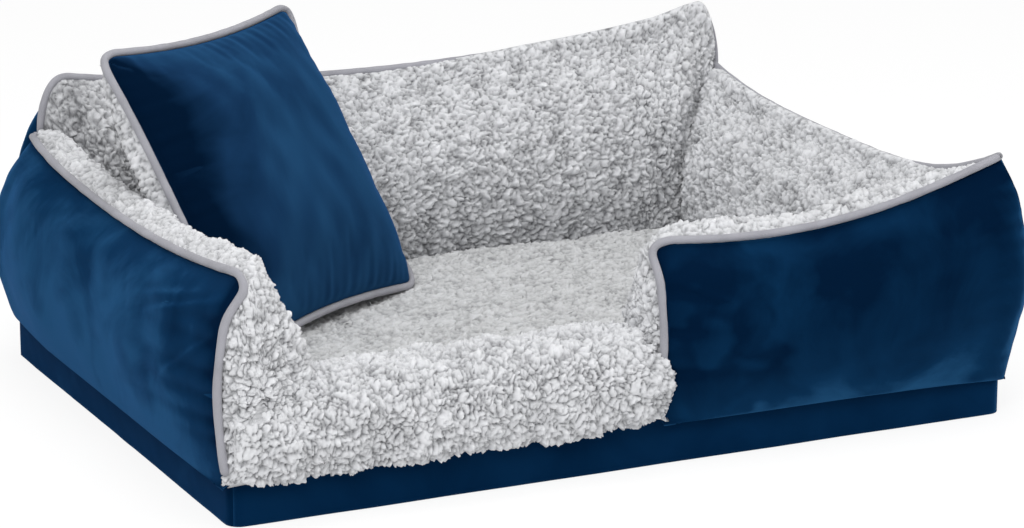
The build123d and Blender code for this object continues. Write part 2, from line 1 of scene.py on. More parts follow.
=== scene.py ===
# %% Load the frame
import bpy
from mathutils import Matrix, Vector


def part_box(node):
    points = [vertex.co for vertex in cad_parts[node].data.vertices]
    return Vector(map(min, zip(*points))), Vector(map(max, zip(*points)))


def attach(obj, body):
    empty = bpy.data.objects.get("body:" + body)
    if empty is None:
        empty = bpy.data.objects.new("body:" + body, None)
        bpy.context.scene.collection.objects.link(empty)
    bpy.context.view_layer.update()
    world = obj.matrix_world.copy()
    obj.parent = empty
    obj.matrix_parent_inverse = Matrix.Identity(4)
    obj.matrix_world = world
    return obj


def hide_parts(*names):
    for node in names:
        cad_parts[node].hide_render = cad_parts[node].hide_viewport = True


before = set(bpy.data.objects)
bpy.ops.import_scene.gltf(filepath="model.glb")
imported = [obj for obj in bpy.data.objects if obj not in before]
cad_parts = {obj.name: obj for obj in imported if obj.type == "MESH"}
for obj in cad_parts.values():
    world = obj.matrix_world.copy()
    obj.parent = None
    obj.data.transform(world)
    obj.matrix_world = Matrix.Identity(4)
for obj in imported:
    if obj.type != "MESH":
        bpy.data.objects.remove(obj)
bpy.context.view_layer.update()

# %% [markdown]
# A bolster bed is sewn from flat cloth and stuffed, so nothing on it is a box. Every soft surface below
# is a function of two parameters, worked out with numpy on a grid: one parameter runs along the seam,
# the other over the cloth. Sculpting by hand could give the same swelling, but a formula keeps the
# pieces in step with each other, and each fold or curl of pile can be moved by changing one number.
# All sizes are in metres, in the frame of the solid parts: +X along the bed, +Y to the back, +Z up.

# %% Tools and sizes
import bpy
import numpy as np
from mathutils import Matrix, Vector

base_length, base_depth, base_height, base_corner = 0.900, 0.670, 0.060, 0.014
half_length, half_depth = base_length / 2, base_depth / 2
base_top = base_height + 0.0003
seam_inset, bolster_depth, foot_depth = 0.013, 0.090, 0.080
mid_bulge, corner_bulge, corner_fan = 0.036, 0.018, 0.150
piping_radius, entry_right, roll_top, seat_top = 0.0045, 0.024, 0.144, 0.080
up = np.array([0, 0, 1.0])
print("base", base_length, "by", base_depth, "m, and the cloth starts", base_top, "m up")

# %% [markdown]
# A few small formulas come back in every piece. A ramp climbs straight from 0 to 1, a fade falls from 1
# to 0, and a quarter round is what a stuffed end has instead of an edge.

# %% Ramps, directions and lengths
def ramped(value, start, span, least=0):
    """0 up to the start, then straight up to 1 over the span, and nowhere under the least."""
    return np.clip((value - start) / span, least, 1)


def faded(value, reach):
    """1 at zero, straight down to 0 at the reach."""
    return np.clip(1 - value / reach, 0, 1)


def rounded(gap, radius, least=0):
    """Quarter circle: 0 at the tip, rising to 1 where the gap to the tip is the radius."""
    return np.sqrt(np.clip(1 - faded(gap, radius) ** 2, least, 1))


def unit(vectors):
    """Each vector divided by its length."""
    return vectors / np.maximum(np.linalg.norm(vectors, axis=-1, keepdims=True), 1e-12)


def stacked(*arrays):
    """Coordinates side by side, each stretched to the shape that they share."""
    return np.stack(np.broadcast_arrays(*arrays), axis=-1)


def run_length(path):
    """How far along a path each of its points lies."""
    return np.concatenate([[0], np.cumsum(np.linalg.norm(np.diff(path, axis=0), axis=-1))])


print("a quarter round at 0, 1/4, 1/2 and 1:", rounded(np.array([0, 0.25, 0.5, 1]), 1).round(2))

# %% [markdown]
# Noise makes cloth look sewn by hand. A sum of sine waves in many directions is the smoothest kind and
# bends whole panels. Cellular noise, where each point belongs to the nearest of many scattered centres,
# is the kind for curly fleece: every cell becomes one tuft of curls with a dark gap around it.

# %% Noise on arrays
def waves(points, size, seed, octaves=3):
    """Sum of sine waves in random directions: at each octave the waves are half as long and half as high."""
    rng = np.random.default_rng(seed)
    total = np.zeros(points.shape[:-1])
    for octave in range(octaves):
        for _ in range(5):
            direction = rng.normal(size=3)
            direction *= 2 * np.pi / (size * np.linalg.norm(direction)) * rng.uniform(0.7, 1.3)
            total += np.sin(points @ direction * 2 ** octave + rng.uniform(0, 6.28)) / (3 * 2 ** octave)
    return total


def scatter(cells, seed):
    """Three random numbers from 0 to 1 for each whole-number cell: a sine hash of its three coordinates."""
    key = cells @ np.array([127.1, 311.7, 74.7]) + seed * 17.3
    return np.modf(np.abs(np.sin(key[..., None] + np.array([0.0, 1.3, 4.1])) * 43758.5453))[0]


def tufts(points, size, seed):
    """Nearest and second nearest scattered centre: returns both distances and the nearest centre's cell."""
    scaled = points / size
    home = np.floor(scaled)
    first = np.full(points.shape[:-1], 9.0)
    second = first.copy()
    owner = np.zeros(points.shape)
    for step in np.ndindex(3, 3, 3):
        cell = home + np.array(step) - 1
        gap = np.linalg.norm(cell + scatter(cell, seed) - scaled, axis=-1)
        nearer = gap < first
        second = np.where(nearer, first, np.minimum(second, gap))
        owner[nearer] = cell[nearer]
        first = np.where(nearer, gap, first)
    return first, second, owner


print("waves at three points:", waves(np.eye(3), 1.0, 1).round(2))

# %% [markdown]
# Each sewn panel becomes a closed shell: a fine face that shows, and a coarse lining behind it. Both are
# rows of points, so one loop of points runs over the face and back along the lining, and the grid of
# quads between one loop and the next closes the tube. A flat polygon shuts each end. Solidify would
# also give the cloth a thickness, but it would double every curl of the fleece where nobody looks.

# %% Grids into meshes
def normals(grid):
    """Unit cross product of the two directions in which the grid runs."""
    return unit(np.cross(np.gradient(grid, axis=0), np.gradient(grid, axis=1)))


def quads(rows, columns, around=False, closed=False):
    """Corner numbers of the quads of a grid: around joins the last column to the first, closed the rows."""
    number = np.arange(rows * columns).reshape(rows, columns)
    if around:
        number = np.concatenate([number, number[:, :1]], axis=1)
    if closed:
        number = np.concatenate([number, number[:1]])
    corners = number[:-1, :-1], number[1:, :-1], number[1:, 1:], number[:-1, 1:]
    return np.stack(corners, axis=-1).reshape(-1, 4)


def build(name, points, faces, ends=(), uv=None, values=None, turned=False):
    """Object from points, quads and a few longer polygons; turned makes them all face the other way."""
    step = -1 if turned else 1
    polygons = faces[:, ::step].tolist() + [end[::step].tolist() for end in ends]
    mesh = bpy.data.meshes.new(name)
    mesh.from_pydata(points.reshape(-1, 3).tolist(), [], polygons)
    if uv is not None:
        corners = np.empty(len(mesh.loops), dtype=np.int32)
        mesh.loops.foreach_get("vertex_index", corners)
        layer = mesh.uv_layers.new(name="cloth")
        layer.data.foreach_set("uv", uv.reshape(-1, 2)[corners].ravel().astype(np.float32))
    for key, array in (values or {}).items():
        mesh.attributes.new(key, "FLOAT", "POINT").data.foreach_set("value", array.ravel().astype(np.float32))
    mesh.shade_smooth()
    mesh.validate()
    piece = bpy.data.objects.new(name, mesh)
    bpy.context.collection.objects.link(piece)
    return piece


def skin(name, rings, uv, values=None, closed=False, turned=False):
    """Tube over rings of points, closed into a loop or else shut by a polygon at each end."""
    rows, columns = rings.shape[:2]
    number = np.arange(columns)
    ends = () if closed else (number[::-1], number + (rows - 1) * columns)
    faces = quads(rows, columns, around=True, closed=closed)
    return build(name, rings, faces, ends, uv, values, turned)


def shell(name, face, lining, values, turned=False):
    """Skin over loops, each the face's row and then the lining's row back; the lining's values are plain."""
    loops = np.concatenate([face, lining[:, ::-1]], axis=1)
    run = np.cumsum(np.linalg.norm(np.diff(loops, axis=1, prepend=loops[:, :1]), axis=-1), axis=1)
    length = np.linspace(0, np.linalg.norm(np.diff(loops[:, 0], axis=0), axis=-1).sum(), len(loops))
    whole = {key: np.concatenate([array, np.full(lining.shape[:2], 0.5 if key == "pile" else 0.0)], axis=1)
             for key, array in values.items()}
    return skin(name, loops, stacked(length[:, None], run), whole, turned=turned)


def thinned(grid, step):
    """Every few columns of a grid, and always the last one, for a lining."""
    return np.concatenate([grid[:, :-1:step], grid[:, -1:]], axis=1)


def finish_piece(piece, body, slot, material, *nodes, fill=None):
    """Material, body and replaced nodes of a new piece, and its triangle count; the slot is not used."""
    piece.data.materials.append(material)
    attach(piece, body)
    if nodes:
        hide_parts(*nodes)
    sides = np.empty(len(piece.data.polygons), dtype=np.int32)
    piece.data.polygons.foreach_get("loop_total", sides)
    print(f"{piece.name}: {int((sides - 2).sum())} triangles")


print("3 rows of 4 points make", len(quads(3, 4)), "quads, or", len(quads(3, 4, around=True)), "around a tube")

# %% [markdown]
# Stuffed cloth is loose: it billows between its seams and puckers where the thread holds it. Sculpted
# wrinkles tend to look alike, so a cloth simulation finds them instead. It runs on a coarse grid pinned
# along its seams, with air pressure behind it and a little spare cloth, and only the distance that each
# point has moved is kept. That movement is spread over the fine grid, with a cap so that no point
# leaves its place by more than the real cloth could.

# %% Cloth simulation
def resample(grid, rows, columns):
    """The grid read at evenly spaced places, straight between its points."""
    u = np.linspace(0, grid.shape[0] - 1, rows)
    v = np.linspace(0, grid.shape[1] - 1, columns)
    i, j = np.minimum(u.astype(int), grid.shape[0] - 2), np.minimum(v.astype(int), grid.shape[1] - 2)
    s, t = (u - i)[:, None, None], (v - j)[None, :, None]
    low = grid[i][:, j] * (1 - t) + grid[i][:, j + 1] * t
    high = grid[i + 1][:, j] * (1 - t) + grid[i + 1][:, j + 1] * t
    return low * (1 - s) + high * s


def billow(face, rows, columns, spare, cap, keep, turned=False):
    """How far a pinned, slightly over-long cloth moves under pressure, as an array like the face.

    Real stuffing damps the finest folds, so only a share of the movement is kept.
    """
    coarse = resample(face, rows, columns)
    trial = build("cloth_trial", coarse, quads(rows, columns), turned=turned)
    number = np.arange(rows * columns).reshape(rows, columns)
    seam = np.concatenate([number[0], number[-1], number[:, 0], number[:, -1]])
    trial.vertex_groups.new(name="seam").add(seam.tolist(), 1.0, "REPLACE")
    settings = trial.modifiers.new("Cloth", "CLOTH").settings
    settings.quality = 5
    settings.mass = 0.3
    settings.use_pressure, settings.uniform_pressure_force = True, 4.0
    settings.tension_stiffness = settings.compression_stiffness = 15
    settings.shear_stiffness, settings.bending_stiffness = 5, 0.3
    settings.shrink_min = -spare
    settings.effector_weights.gravity = 0
    settings.vertex_group_mass = "seam"
    scene = bpy.context.scene
    for step in range(1, 21):
        scene.frame_set(step)
    moved = np.empty(rows * columns * 3)
    trial.evaluated_get(bpy.context.evaluated_depsgraph_get()).data.vertices.foreach_get("co", moved)
    moved = moved.reshape(rows, columns, 3) - coarse
    bpy.data.objects.remove(trial)
    scene.frame_set(1)
    far = np.linalg.norm(moved, axis=-1, keepdims=True)
    moved *= keep * np.minimum(1, cap / np.maximum(far, 1e-9))
    print(f"cloth moved {far.mean() * 1000:.1f} mm on average, {far.max() * 1000:.1f} mm at most")
    return resample(moved, *face.shape[:2])


print("the cloth simulation", "runs")

# %% [markdown]
# A bolster's section is a pillow shape: outside it hangs over the base in a soft lip, swells to its
# fullest half way up and leans in to the top seam, and inside it curves down to the seat. A spline
# through a few chosen points gives the outside, and a circle through three points the inside. Near a
# corner the section turns from square to 45 degrees, so that two bolsters meet in a mitre.

# %% Sections of a bolster
lip_drop, waist_share = 0.013, 0.47


def spline(knots, t):
    """Catmull-Rom curve: each span blends four neighbouring knots by cubic weights."""
    before, after = 2 * knots[:, :1] - knots[:, 1:2], 2 * knots[:, -1:] - knots[:, -2:-1]
    knots = np.concatenate([before, knots, after], axis=1)
    place = t * (knots.shape[1] - 3)
    span = np.minimum(place.astype(int), knots.shape[1] - 4)
    w = (place - span)[None, :, None]
    a, b, c, d = (knots[:, span + shift] for shift in range(4))
    return 0.5 * (2 * b + (c - a) * w + (2 * a - 5 * b + 4 * c - d) * w ** 2
                  + (3 * b - a - 3 * c + d) * w ** 3)


def arc(a, b, c, t):
    """Points on the circle through a, b and c, from a to c, for rows of planar points."""
    (ax, ay), (bx, by), (cx, cy) = a.T, b.T, c.T
    twice = 2 * (ax * (by - cy) + bx * (cy - ay) + cx * (ay - by))
    a2, b2, c2 = ax ** 2 + ay ** 2, bx ** 2 + by ** 2, cx ** 2 + cy ** 2
    x = (a2 * (by - cy) + b2 * (cy - ay) + c2 * (ay - by)) / twice
    y = (a2 * (cx - bx) + b2 * (ax - cx) + c2 * (bx - ax)) / twice
    start, end = np.arctan2(ay - y, ax - x), np.arctan2(cy - y, cx - x)
    turn = np.remainder(end - start + np.pi, 2 * np.pi) - np.pi
    at = start[:, None] + turn[:, None] * t
    radius = np.hypot(ax - x, ay - y)[:, None]
    return stacked(x[:, None] + radius * np.cos(at), y[:, None] + radius * np.sin(at))


def outer_profile(bulge, height, taut, droop, t):
    """Outside of the section: lip, belly, then in to the seam.

    Each knot is a distance out from the base and a height. The lip hangs lower by the droop. Towards a
    corner the cloth is taut, so the upper part runs straighter from the belly to the seam.
    """
    rise = height - base_height
    lip = base_height - lip_drop - droop
    reach = bulge + seam_inset
    knots = [(0.0025, base_height + 0.002), (0.004 - 0.001 * taut, lip + 0.004),
             (0.013 - 0.009 * taut, lip), (0.5 * bulge + 0.001 - 0.005 * taut, lip + 0.006),
             ((0.82 - 0.13 * taut) * bulge, base_height + 0.15 * rise),
             (0.98 * bulge, base_height + 0.34 * rise), (bulge, base_height + 0.5 * rise),
             ((0.86 - 0.08 * taut) * reach - seam_inset, base_height + 0.7 * rise),
             ((0.64 - 0.13 * taut) * reach - seam_inset, base_height + 0.86 * rise), (-seam_inset, height)]
    return spline(stacked(*(stacked(*part) for part in zip(*knots))), t)


def inner_profile(height, fullness, t):
    """Inside of the section, from the seam down to the foot: a circle through seam, belly and foot."""
    depth = seam_inset + (bolster_depth - seam_inset) * fullness
    foot = seam_inset + (foot_depth - seam_inset) * fullness
    waist = base_top + (height - base_top) * waist_share
    return arc(stacked(-seam_inset, height), stacked(-depth, waist), stacked(-foot, base_top), t)


square = outer_profile(*(np.array([size]) for size in (mid_bulge, 0.23, 0.0, 0.0)), np.linspace(0, 1, 50))
print("a square section swells", square[..., 0].max().round(3), "m and hangs to", square[..., 1].min().round(3))

# %% [markdown]
# The top edges dip between the corners because the stuffing settles there, and the back wall ends in two
# rounded ears. Each edge is a power curve of the distance from its dip.

# %% Top edges
front_start = entry_right + 0.0051


def climb(share, power=2):
    """Share of the way from the dip, clipped to 0 and 1, raised to a power."""
    return np.clip(share, 0, 1) ** power


def back_top(distance):
    """Sagging middle, a wide round ear at the left and a fuller one at the right."""
    height = 0.287 + 0.038 * climb(abs(2 * distance / base_length - 1))
    return height - 0.071 * (2 - rounded(distance - 0.018, 0.034) - rounded(base_length - distance, 0.028))


def side_top(dip, back_rise, front_rise, power):
    """Edge of a side wall, from the back to the front, with its own climb to each of its corners."""
    def top(distance):
        side = 2 * distance / base_depth - 1
        return dip + np.where(side < 0, back_rise, front_rise) * climb(abs(side), power)
    return top


def front_top(distance):
    """A short climb to the entry, and a high one to the corner."""
    share = distance / (half_length - front_start)
    return 0.228 + np.where(share < 0.3, 0.009 * climb(1 - share / 0.3), 0.056 * climb((share - 0.3) / 0.7))


left_top, right_top = side_top(0.234, 0.020, 0.026, 2), side_top(0.230, 0.024, 0.054, 3)
print("back edge from", back_top(half_length), "to", back_top(np.linspace(0, 0.9, 91)).max().round(3), "m")

# %% [markdown]
# Four walls share one description: a start, a direction, a length and a top edge. Pairs of numbers give
# what happens at the start and at the end. A wall fans out to a mitre where it meets its neighbour, and
# where it ends free, beside the entry, it is rounded off like a pillow.

# %% The four bolsters
corner_droop, end_rounding, corner_lean = 0.008, 0.026, 0.006


class Bolster:
    """One side wall: where it starts, which way it runs, and how its section changes on the way."""

    def __init__(self, name, start, along, outward, length, top, fans, free=(0, 0), leans=(0, 0), droop=0):
        self.name, self.length, self.top, self.fans = name, length, top, fans
        self.free, self.leans, self.droop = free, leans, droop
        self.start, self.along, self.outward = np.array(start), np.array(along), np.array(outward)
        self.side = -np.cross(along, outward)[2]

    def gaps(self, distance):
        """Distances from the start and from the end."""
        return distance, self.length - distance

    def stations(self, count, surface, past=0.0):
        """Distances that space a surface's rows evenly: closer where it turns round an end or an ear.

        The rows may run a little past each mitre, so that no gap shows there.
        """
        fine = np.linspace(-past * self.fans[0], self.length + past * self.fans[1], 3000)
        probe = surface(fine, np.linspace(0, 1, 9))
        step = np.linalg.norm(np.diff(probe, axis=0), axis=-1).max(axis=1)
        length = np.concatenate([[0], np.cumsum(step)])
        return np.interp(np.linspace(0, length[-1], count), length, fine)

    def fan(self, distance):
        """Turn of the section from square, 0, to the mitre, 1, over the last stretch before a corner."""
        at_start, at_end = (faded(gap, corner_fan) for gap in self.gaps(distance))
        return at_end * self.fans[1] - at_start * self.fans[0]

    def fullness(self, distance):
        """1 along the wall, falling along a quarter round to nothing at the tip of a free end."""
        share = np.ones_like(distance)
        for rounding, gap in zip(self.free, self.gaps(distance)):
            if rounding:
                share = np.minimum(share, rounded(gap, rounding))
        return share

    def bulge(self, distance):
        """Fullest in the middle, with a power 4 fall to the corners."""
        return corner_bulge + (mid_bulge - corner_bulge) * (1 - (2 * distance / self.length - 1) ** 4)

    def height(self, distance):
        """Top edge, a little lower round a free end, and falling away past a mitre."""
        past = np.maximum(-distance, 0) + np.maximum(distance - self.length, 0)
        return self.top(distance) - 0.010 * (1 - self.fullness(distance)) - past

    def place(self, distance, profile):
        """Section points into space: out along the fanned direction, and up, the top leaning at corners."""
        origin = self.start + self.along * distance[:, None]
        sideways = self.outward + self.along * self.fan(distance)[:, None]
        leaning = sum(lean * faded(gap, corner_fan) ** 2 for lean, gap in zip(self.leans, self.gaps(distance)))
        leaning = leaning[:, None, None] * ramped(profile[..., 1:], base_height, 0.19) ** 2
        return origin[:, None] + sideways[:, None] * (profile[..., :1] + leaning) + up * profile[..., 1:]

    def outside(self, distance, t):
        """Outer surface, alike on both of the walls that meet at a corner.

        The corner's seam is sunk along the mitre, and the cloth puffs up beside it. The hem droops by
        the square of a ramp towards the end.
        """
        droop = self.droop * faded(self.length - distance, 0.2) ** 2
        profile = outer_profile(self.bulge(distance), self.height(distance), abs(self.fan(distance)), droop, t)
        gap = np.minimum(*(np.where(fan, gap, 9) for fan, gap in zip(self.fans, self.gaps(distance))))
        sunk = (0.003 + 0.001 * ramped(t, 0.25, 0.2)) * ramped(1 - t, 0, 0.1)
        profile[..., 0] -= sunk * np.exp(-(np.maximum(gap, 0) / 0.009) ** 1.3)[:, None]
        puffed = 0.005 * np.sin(np.pi * ramped(t, 0.27, 0.68))
        profile[..., 0] += puffed * np.exp(-((gap - 0.030) / 0.017) ** 2)[:, None]
        return self.place(distance, profile)

    def inside(self, distance, t):
        """Inner surface, which keeps over half of its depth at a free end."""
        full = 0.55 + 0.45 * self.fullness(distance)
        return self.place(distance, inner_profile(self.height(distance), full, t))


back_left, back_right = (-half_length, half_depth, 0), (half_length, half_depth, 0)
front_entry = (front_start, -half_depth, 0)
back = Bolster("back", back_left, (1, 0, 0), (0, 1, 0), base_length, back_top, (1, 1), leans=(-corner_lean, 0))
right = Bolster("right", back_right, (0, -1, 0), (1, 0, 0), base_depth, right_top, (1, 1),
                leans=(0, corner_lean), droop=corner_droop)
left = Bolster("left", back_left, (0, -1, 0), (-1, 0, 0), base_depth + 0.012, left_top, (1, 0),
               free=(0, end_rounding), leans=(-corner_lean, 0))
front = Bolster("front", front_entry, (1, 0, 0), (0, -1, 0), half_length - front_start, front_top, (0, 1),
                free=(end_rounding, 0), leans=(0, corner_lean), droop=corner_droop)
walls = (back, right, left, front)
print("walls", {wall.name: round(wall.length, 3) for wall in walls})

# %% [markdown]
# A few helpers serve every shader. Colours are written as they look on screen and turned into the linear
# values that a shader wants. A shader node group is built once, with named inputs and outputs, and each
# material that needs the effect places the group with its own values.

# %% Shader helpers
def tone(code):
    """Six hex digits of a screen colour into linear red, green, blue and 1."""
    screen = np.array([int(code[i:i + 2], 16) / 255 for i in (0, 2, 4)])
    linear = np.where(screen <= 0.04045, screen / 12.92, ((screen + 0.055) / 1.055) ** 2.4)
    return (*linear.tolist(), 1.0)


def put(tree, socket, value):
    """Links a socket to another node's output, or gives it a plain value."""
    if isinstance(value, bpy.types.NodeSocket):
        tree.links.new(value, socket)
    else:
        socket.default_value = value


def add_node(tree, kind, *inputs, **settings):
    """A node with its first inputs in order, and then inputs and properties by name."""
    node = tree.nodes.new(f"ShaderNode{kind}")
    for key, value in settings.items():
        label = key.replace("_", " ").title()
        if label in node.inputs:
            put(tree, node.inputs[label], value)
        else:
            setattr(node, key, value)
    for socket, value in zip(node.inputs, inputs):
        put(tree, socket, value)
    return node


def maths(tree, operation, *inputs):
    """Result of one sum."""
    return add_node(tree, "Math", *inputs, operation=operation).outputs["Value"]


def noise(tree, **settings):
    """Noise on Object coordinates, so that it stays with the piece."""
    spot = add_node(tree, "TexCoord").outputs["Object"]
    return add_node(tree, "TexNoise", vector=spot, **settings).outputs["Fac"]


def ramp(tree, factor, *stops):
    """Colour ramp with (position, hex colour) stops."""
    node = add_node(tree, "ValToRGB", factor)
    while len(node.color_ramp.elements) < len(stops):
        node.color_ramp.elements.new(0.5)
    for element, (position, code) in zip(node.color_ramp.elements, stops):
        element.position, element.color = position, tone(code)
    return node.outputs["Color"]


def new_material(name, roughness=0.8, sheen=0.0, sheen_rough=0.4, sheen_tint="ffffff", metallic=0.0, ior=1.45):
    """Material with one Principled shader and the values that stay the same all over it."""
    material = bpy.data.materials.new(name)
    material.use_nodes = True
    shader = material.node_tree.nodes["Principled BSDF"]
    for key, value in (("Roughness", roughness), ("Sheen Weight", sheen), ("Sheen Roughness", sheen_rough),
                       ("Sheen Tint", tone(sheen_tint)), ("Metallic", metallic), ("IOR", ior)):
        shader.inputs[key].default_value = value
    return material, material.node_tree, shader


def colour_and_relief(tree, shader, colour, height=None, strength=1.0, distance=0.001):
    """Base colour of a shader, and a bump from a height."""
    put(tree, shader.inputs["Base Color"], colour)
    if height is not None:
        bump = add_node(tree, "Bump", height=height, strength=strength, distance=distance)
        put(tree, shader.inputs["Normal"], bump.outputs["Normal"])


def new_group(name, inputs, outputs):
    """Empty shader node group with number inputs and their defaults, and number outputs."""
    group = bpy.data.node_groups.new(name, "ShaderNodeTree")
    for key, default in inputs.items():
        socket = group.interface.new_socket(key, in_out="INPUT", socket_type="NodeSocketFloat")
        socket.default_value = default
    for key in outputs:
        group.interface.new_socket(key, in_out="OUTPUT", socket_type="NodeSocketFloat")
    return group, group.nodes.new("NodeGroupInput").outputs, group.nodes.new("NodeGroupOutput").inputs


def place_group(tree, group, **values):
    """Outputs of a group placed in a material with its own values."""
    node = tree.nodes.new("ShaderNodeGroup")
    node.node_tree = group
    for key, value in values.items():
        node.inputs[key.title()].default_value = value
    return node.outputs


print("mid grey on screen is", [round(value, 3) for value in tone("808080")], "to a shader")

# %% [markdown]
# Velvet is a short pile that leans. Where a hand has brushed it the other way it catches the light, so
# it shows cloudy patches with soft edges, and it glows at its outline. The glow is partly the shader's
# own sheen and partly painted sheen: the colour turns lighter as the surface turns away from the eye.
# The patches are one effect that the bed's velvet, the cushion's and the base's all share: broad
# noise that is bent by finer noise, with a fine grain for the pile tips.

# %% Nap of the velvet
nap, given, made = new_group("Nap", {"Patch": 9.0, "Grain": 1400.0}, ("Patches", "Tips"))
put(nap, made["Patches"], noise(nap, scale=given["Patch"], detail=5.0, roughness=0.62, distortion=1.3))
put(nap, made["Tips"], noise(nap, scale=given["Grain"], detail=2.0, roughness=0.6))


def velvet_cloth(name, front, side, edge, patch=9.0):
    """Velvet: painted sheen, dark where it faces the eye and lighter where it turns away, shifted by nap patches
    and the mesh's painted light; tips make a fine bump.
    """
    material, tree, shader = new_material(name, sheen=0.25, sheen_rough=0.35, sheen_tint="2f74c4", ior=1.08)
    nap_and_painted_light = place_group(tree, nap, patch=patch)
    painted_sheen = add_node(tree, "LayerWeight", blend=0.5).outputs["Facing"]
    painted_light_and_nap_from_mesh = add_node(tree, "Attribute", attribute_name="nap_and_painted_light").outputs["Fac"]
    total = maths(tree, "ADD", maths(tree, "MULTIPLY_ADD", nap_and_painted_light["Patches"], 0.55, painted_sheen), painted_light_and_nap_from_mesh)
    # The ramp from the front colour to the edge colour is a painted sheen.
    colour = ramp(tree, total, (0.28, front), (0.72, side), (1.0, edge))
    colour_and_relief(tree, shader, colour, nap_and_painted_light["Tips"], 0.25, 0.0006)
    return material


# The side and edge colours of each velvet are painted sheen, where it turns away from the eye.
wall_velvet = velvet_cloth("wall velvet", "00162f", "072c4c", "1d4a70")
base_velvet = velvet_cloth("base velvet", "001e3b", "062b4d", "154066", patch=7.0)
cushion_velvet = velvet_cloth("cushion velvet", "001228", "112f4f", "1b4164", patch=6.0)
print("velvets", wall_velvet.name, base_velvet.name, cushion_velvet.name)

# %% [markdown]
# Curly fleece looks pale at the tips of its curls and dark in the gaps between them, where shade falls.
# The mesh carries how high each point stands in its tuft, and the shader turns that height into colour,
# so the gaps get painted shade that follows the real shape. Finer hairs than the mesh can hold come from
# stretched noise, as colour and bump.

# %% Pile of the fleece
pile, given, made = new_group("Pile", {"Hair": 520.0}, ("Shade", "Hairs"))
hairs = noise(pile, scale=given["Hair"], detail=4.0, roughness=0.65, distortion=2.2)
stand = add_node(pile, "Attribute", attribute_name="pile").outputs["Fac"]
put(pile, made["Shade"], maths(pile, "SUBTRACT", maths(pile, "MULTIPLY_ADD", hairs, 0.45, stand), 0.225))
put(pile, made["Hairs"], hairs)


def fleece_cloth(name, painted_gap_shade, low, high, tip):
    """Fleece: colour climbs from the painted gap shade to the tip with the height in the tuft, and hairs make a
    fine bump.
    """
    material, tree, shader = new_material(name, roughness=0.95, sheen=0.35, sheen_rough=0.6, ior=1.2)
    curly = place_group(tree, pile)
    colour = ramp(tree, curly["Shade"], (0.05, painted_gap_shade), (0.28, low), (0.55, high), (0.9, tip))
    colour_and_relief(tree, shader, colour, curly["Hairs"], 0.55, 0.0015)
    return material


# The darkest colour of each fleece is painted shade in the gaps between tufts.
wall_fleece = fleece_cloth("wall fleece", "6a6b6e", "aaabae", "d0d1d4", "e0e1e4")
seat_cloth = fleece_cloth("seat fleece", "68696b", "9fa0a2", "c1c2c3", "d1d2d4")
print("fleeces", wall_fleece.name, seat_cloth.name)

# %% [markdown]
# Piping cloth, zip tape and lining are plain woven. Two sine waves at right angles, one for the warp and
# one for the weft, make a weave that holds from any side when they run along the cloth's own UVs.

# %% Woven cloths
weave, given, made = new_group("Weave", {"Threads": 900.0}, ("Over",))
split = add_node(weave, "SeparateXYZ", add_node(weave, "TexCoord").outputs["UV"]).outputs
warp, weft = (maths(weave, "SINE", maths(weave, "MULTIPLY", split[axis], given["Threads"])) for axis in "XY")
put(weave, made["Over"], maths(weave, "MULTIPLY_ADD", warp, weft, 0.5))


def woven_cloth(name, gap, thread):
    """Plain weave: the crossing of the threads gives both the colour and the bump, and dust uneven tones."""
    material, tree, shader = new_material(name, roughness=0.85, sheen=0.2)
    over = place_group(tree, weave, threads=4200.0)["Over"]
    both = maths(tree, "MULTIPLY_ADD", over, 0.5, noise(tree, scale=35.0, detail=4.0))
    colour_and_relief(tree, shader, ramp(tree, both, (0.25, gap), (0.85, thread)), over, 0.3, 0.0003)
    return material


piping_cloth = woven_cloth("piping cloth", "7c7c82", "9f9fa6")
tape_cloth = woven_cloth("zip tape", "0a1a30", "14294a")
lining_cloth = woven_cloth("lining", "10151f", "1d2533")
foam_face = woven_cloth("foam and filling", "cfc9b4", "e6e1cf")
print("woven", piping_cloth.name, tape_cloth.name, lining_cloth.name, foam_face.name)

# %% [markdown]
# A pile is not a flat texture. Each tuft stands a few millimetres proud and leans its own way, so the
# points of the panel move out along the surface's normal, most in the middle of a tuft, and sideways
# with the tuft's lean, which makes curls overlap as they do on the real cloth.

# %% Growing the pile
tuft_size, tuft_height = 0.0085, 0.0075


def grow_pile(face, height, size, seed, out=1.0, lean=0.36, comb=(1, 1, 1)):
    """Face pushed out by tufts; returns the new points and each one's shade, from 0 in a gap to 1 at a tip.

    A tuft is a dome that falls to a gap at its border. It is taller or shorter by luck, and smaller
    curls sit on it. A comb value below 1 makes the tufts longer along that axis, where the pile has
    been stroked.
    """
    bend = np.stack([waves(face, 2.6 * size, seed + k, 3) for k in range(3)], axis=-1)
    warped = (face + 0.42 * size * bend) * np.array(comb)
    first, second, owner = tufts(warped, size, seed)
    border = 1 - (1 - ramped(second - first, 0, 0.34)) ** 2.2
    luck = scatter(owner, seed + 5)
    small, small_second, _ = tufts(warped + 0.15 * size * bend[..., ::-1], size * 0.42, seed + 9)
    curl = ramped(small_second - small, 0, 0.45)
    dome = 1.13 - 0.5 * first ** 2
    stand = (0.22 + 0.78 * border) * (0.62 + 0.38 * luck[..., 0]) * (0.72 + 0.28 * curl) * dome
    stand = np.clip(stand + 0.10 * waves(face, 0.004, seed + 4, 1), 0, 1)
    normal = normals(face) * out
    drift = (luck - 0.5) * 2 * lean
    drift -= normal * np.sum(drift * normal, axis=-1, keepdims=True)
    shade = np.clip(stand - 0.09 * waves(face, 5 * size, seed + 12, 2), 0, 1)
    return face + height * stand[..., None] * (normal + drift * stand[..., None]), shade


print("tufts about", tuft_size * 1000, "mm wide and", tuft_height * 1000, "mm high")

# %% [markdown]
# The fleece lines the inside of each wall and rolls over its top. On the back and the right wall it
# stands up behind the piping. Beside the entry it bulges over the piping in a soft crest, and the left
# wall's fleece is lifted on to the entry roll that it meets.

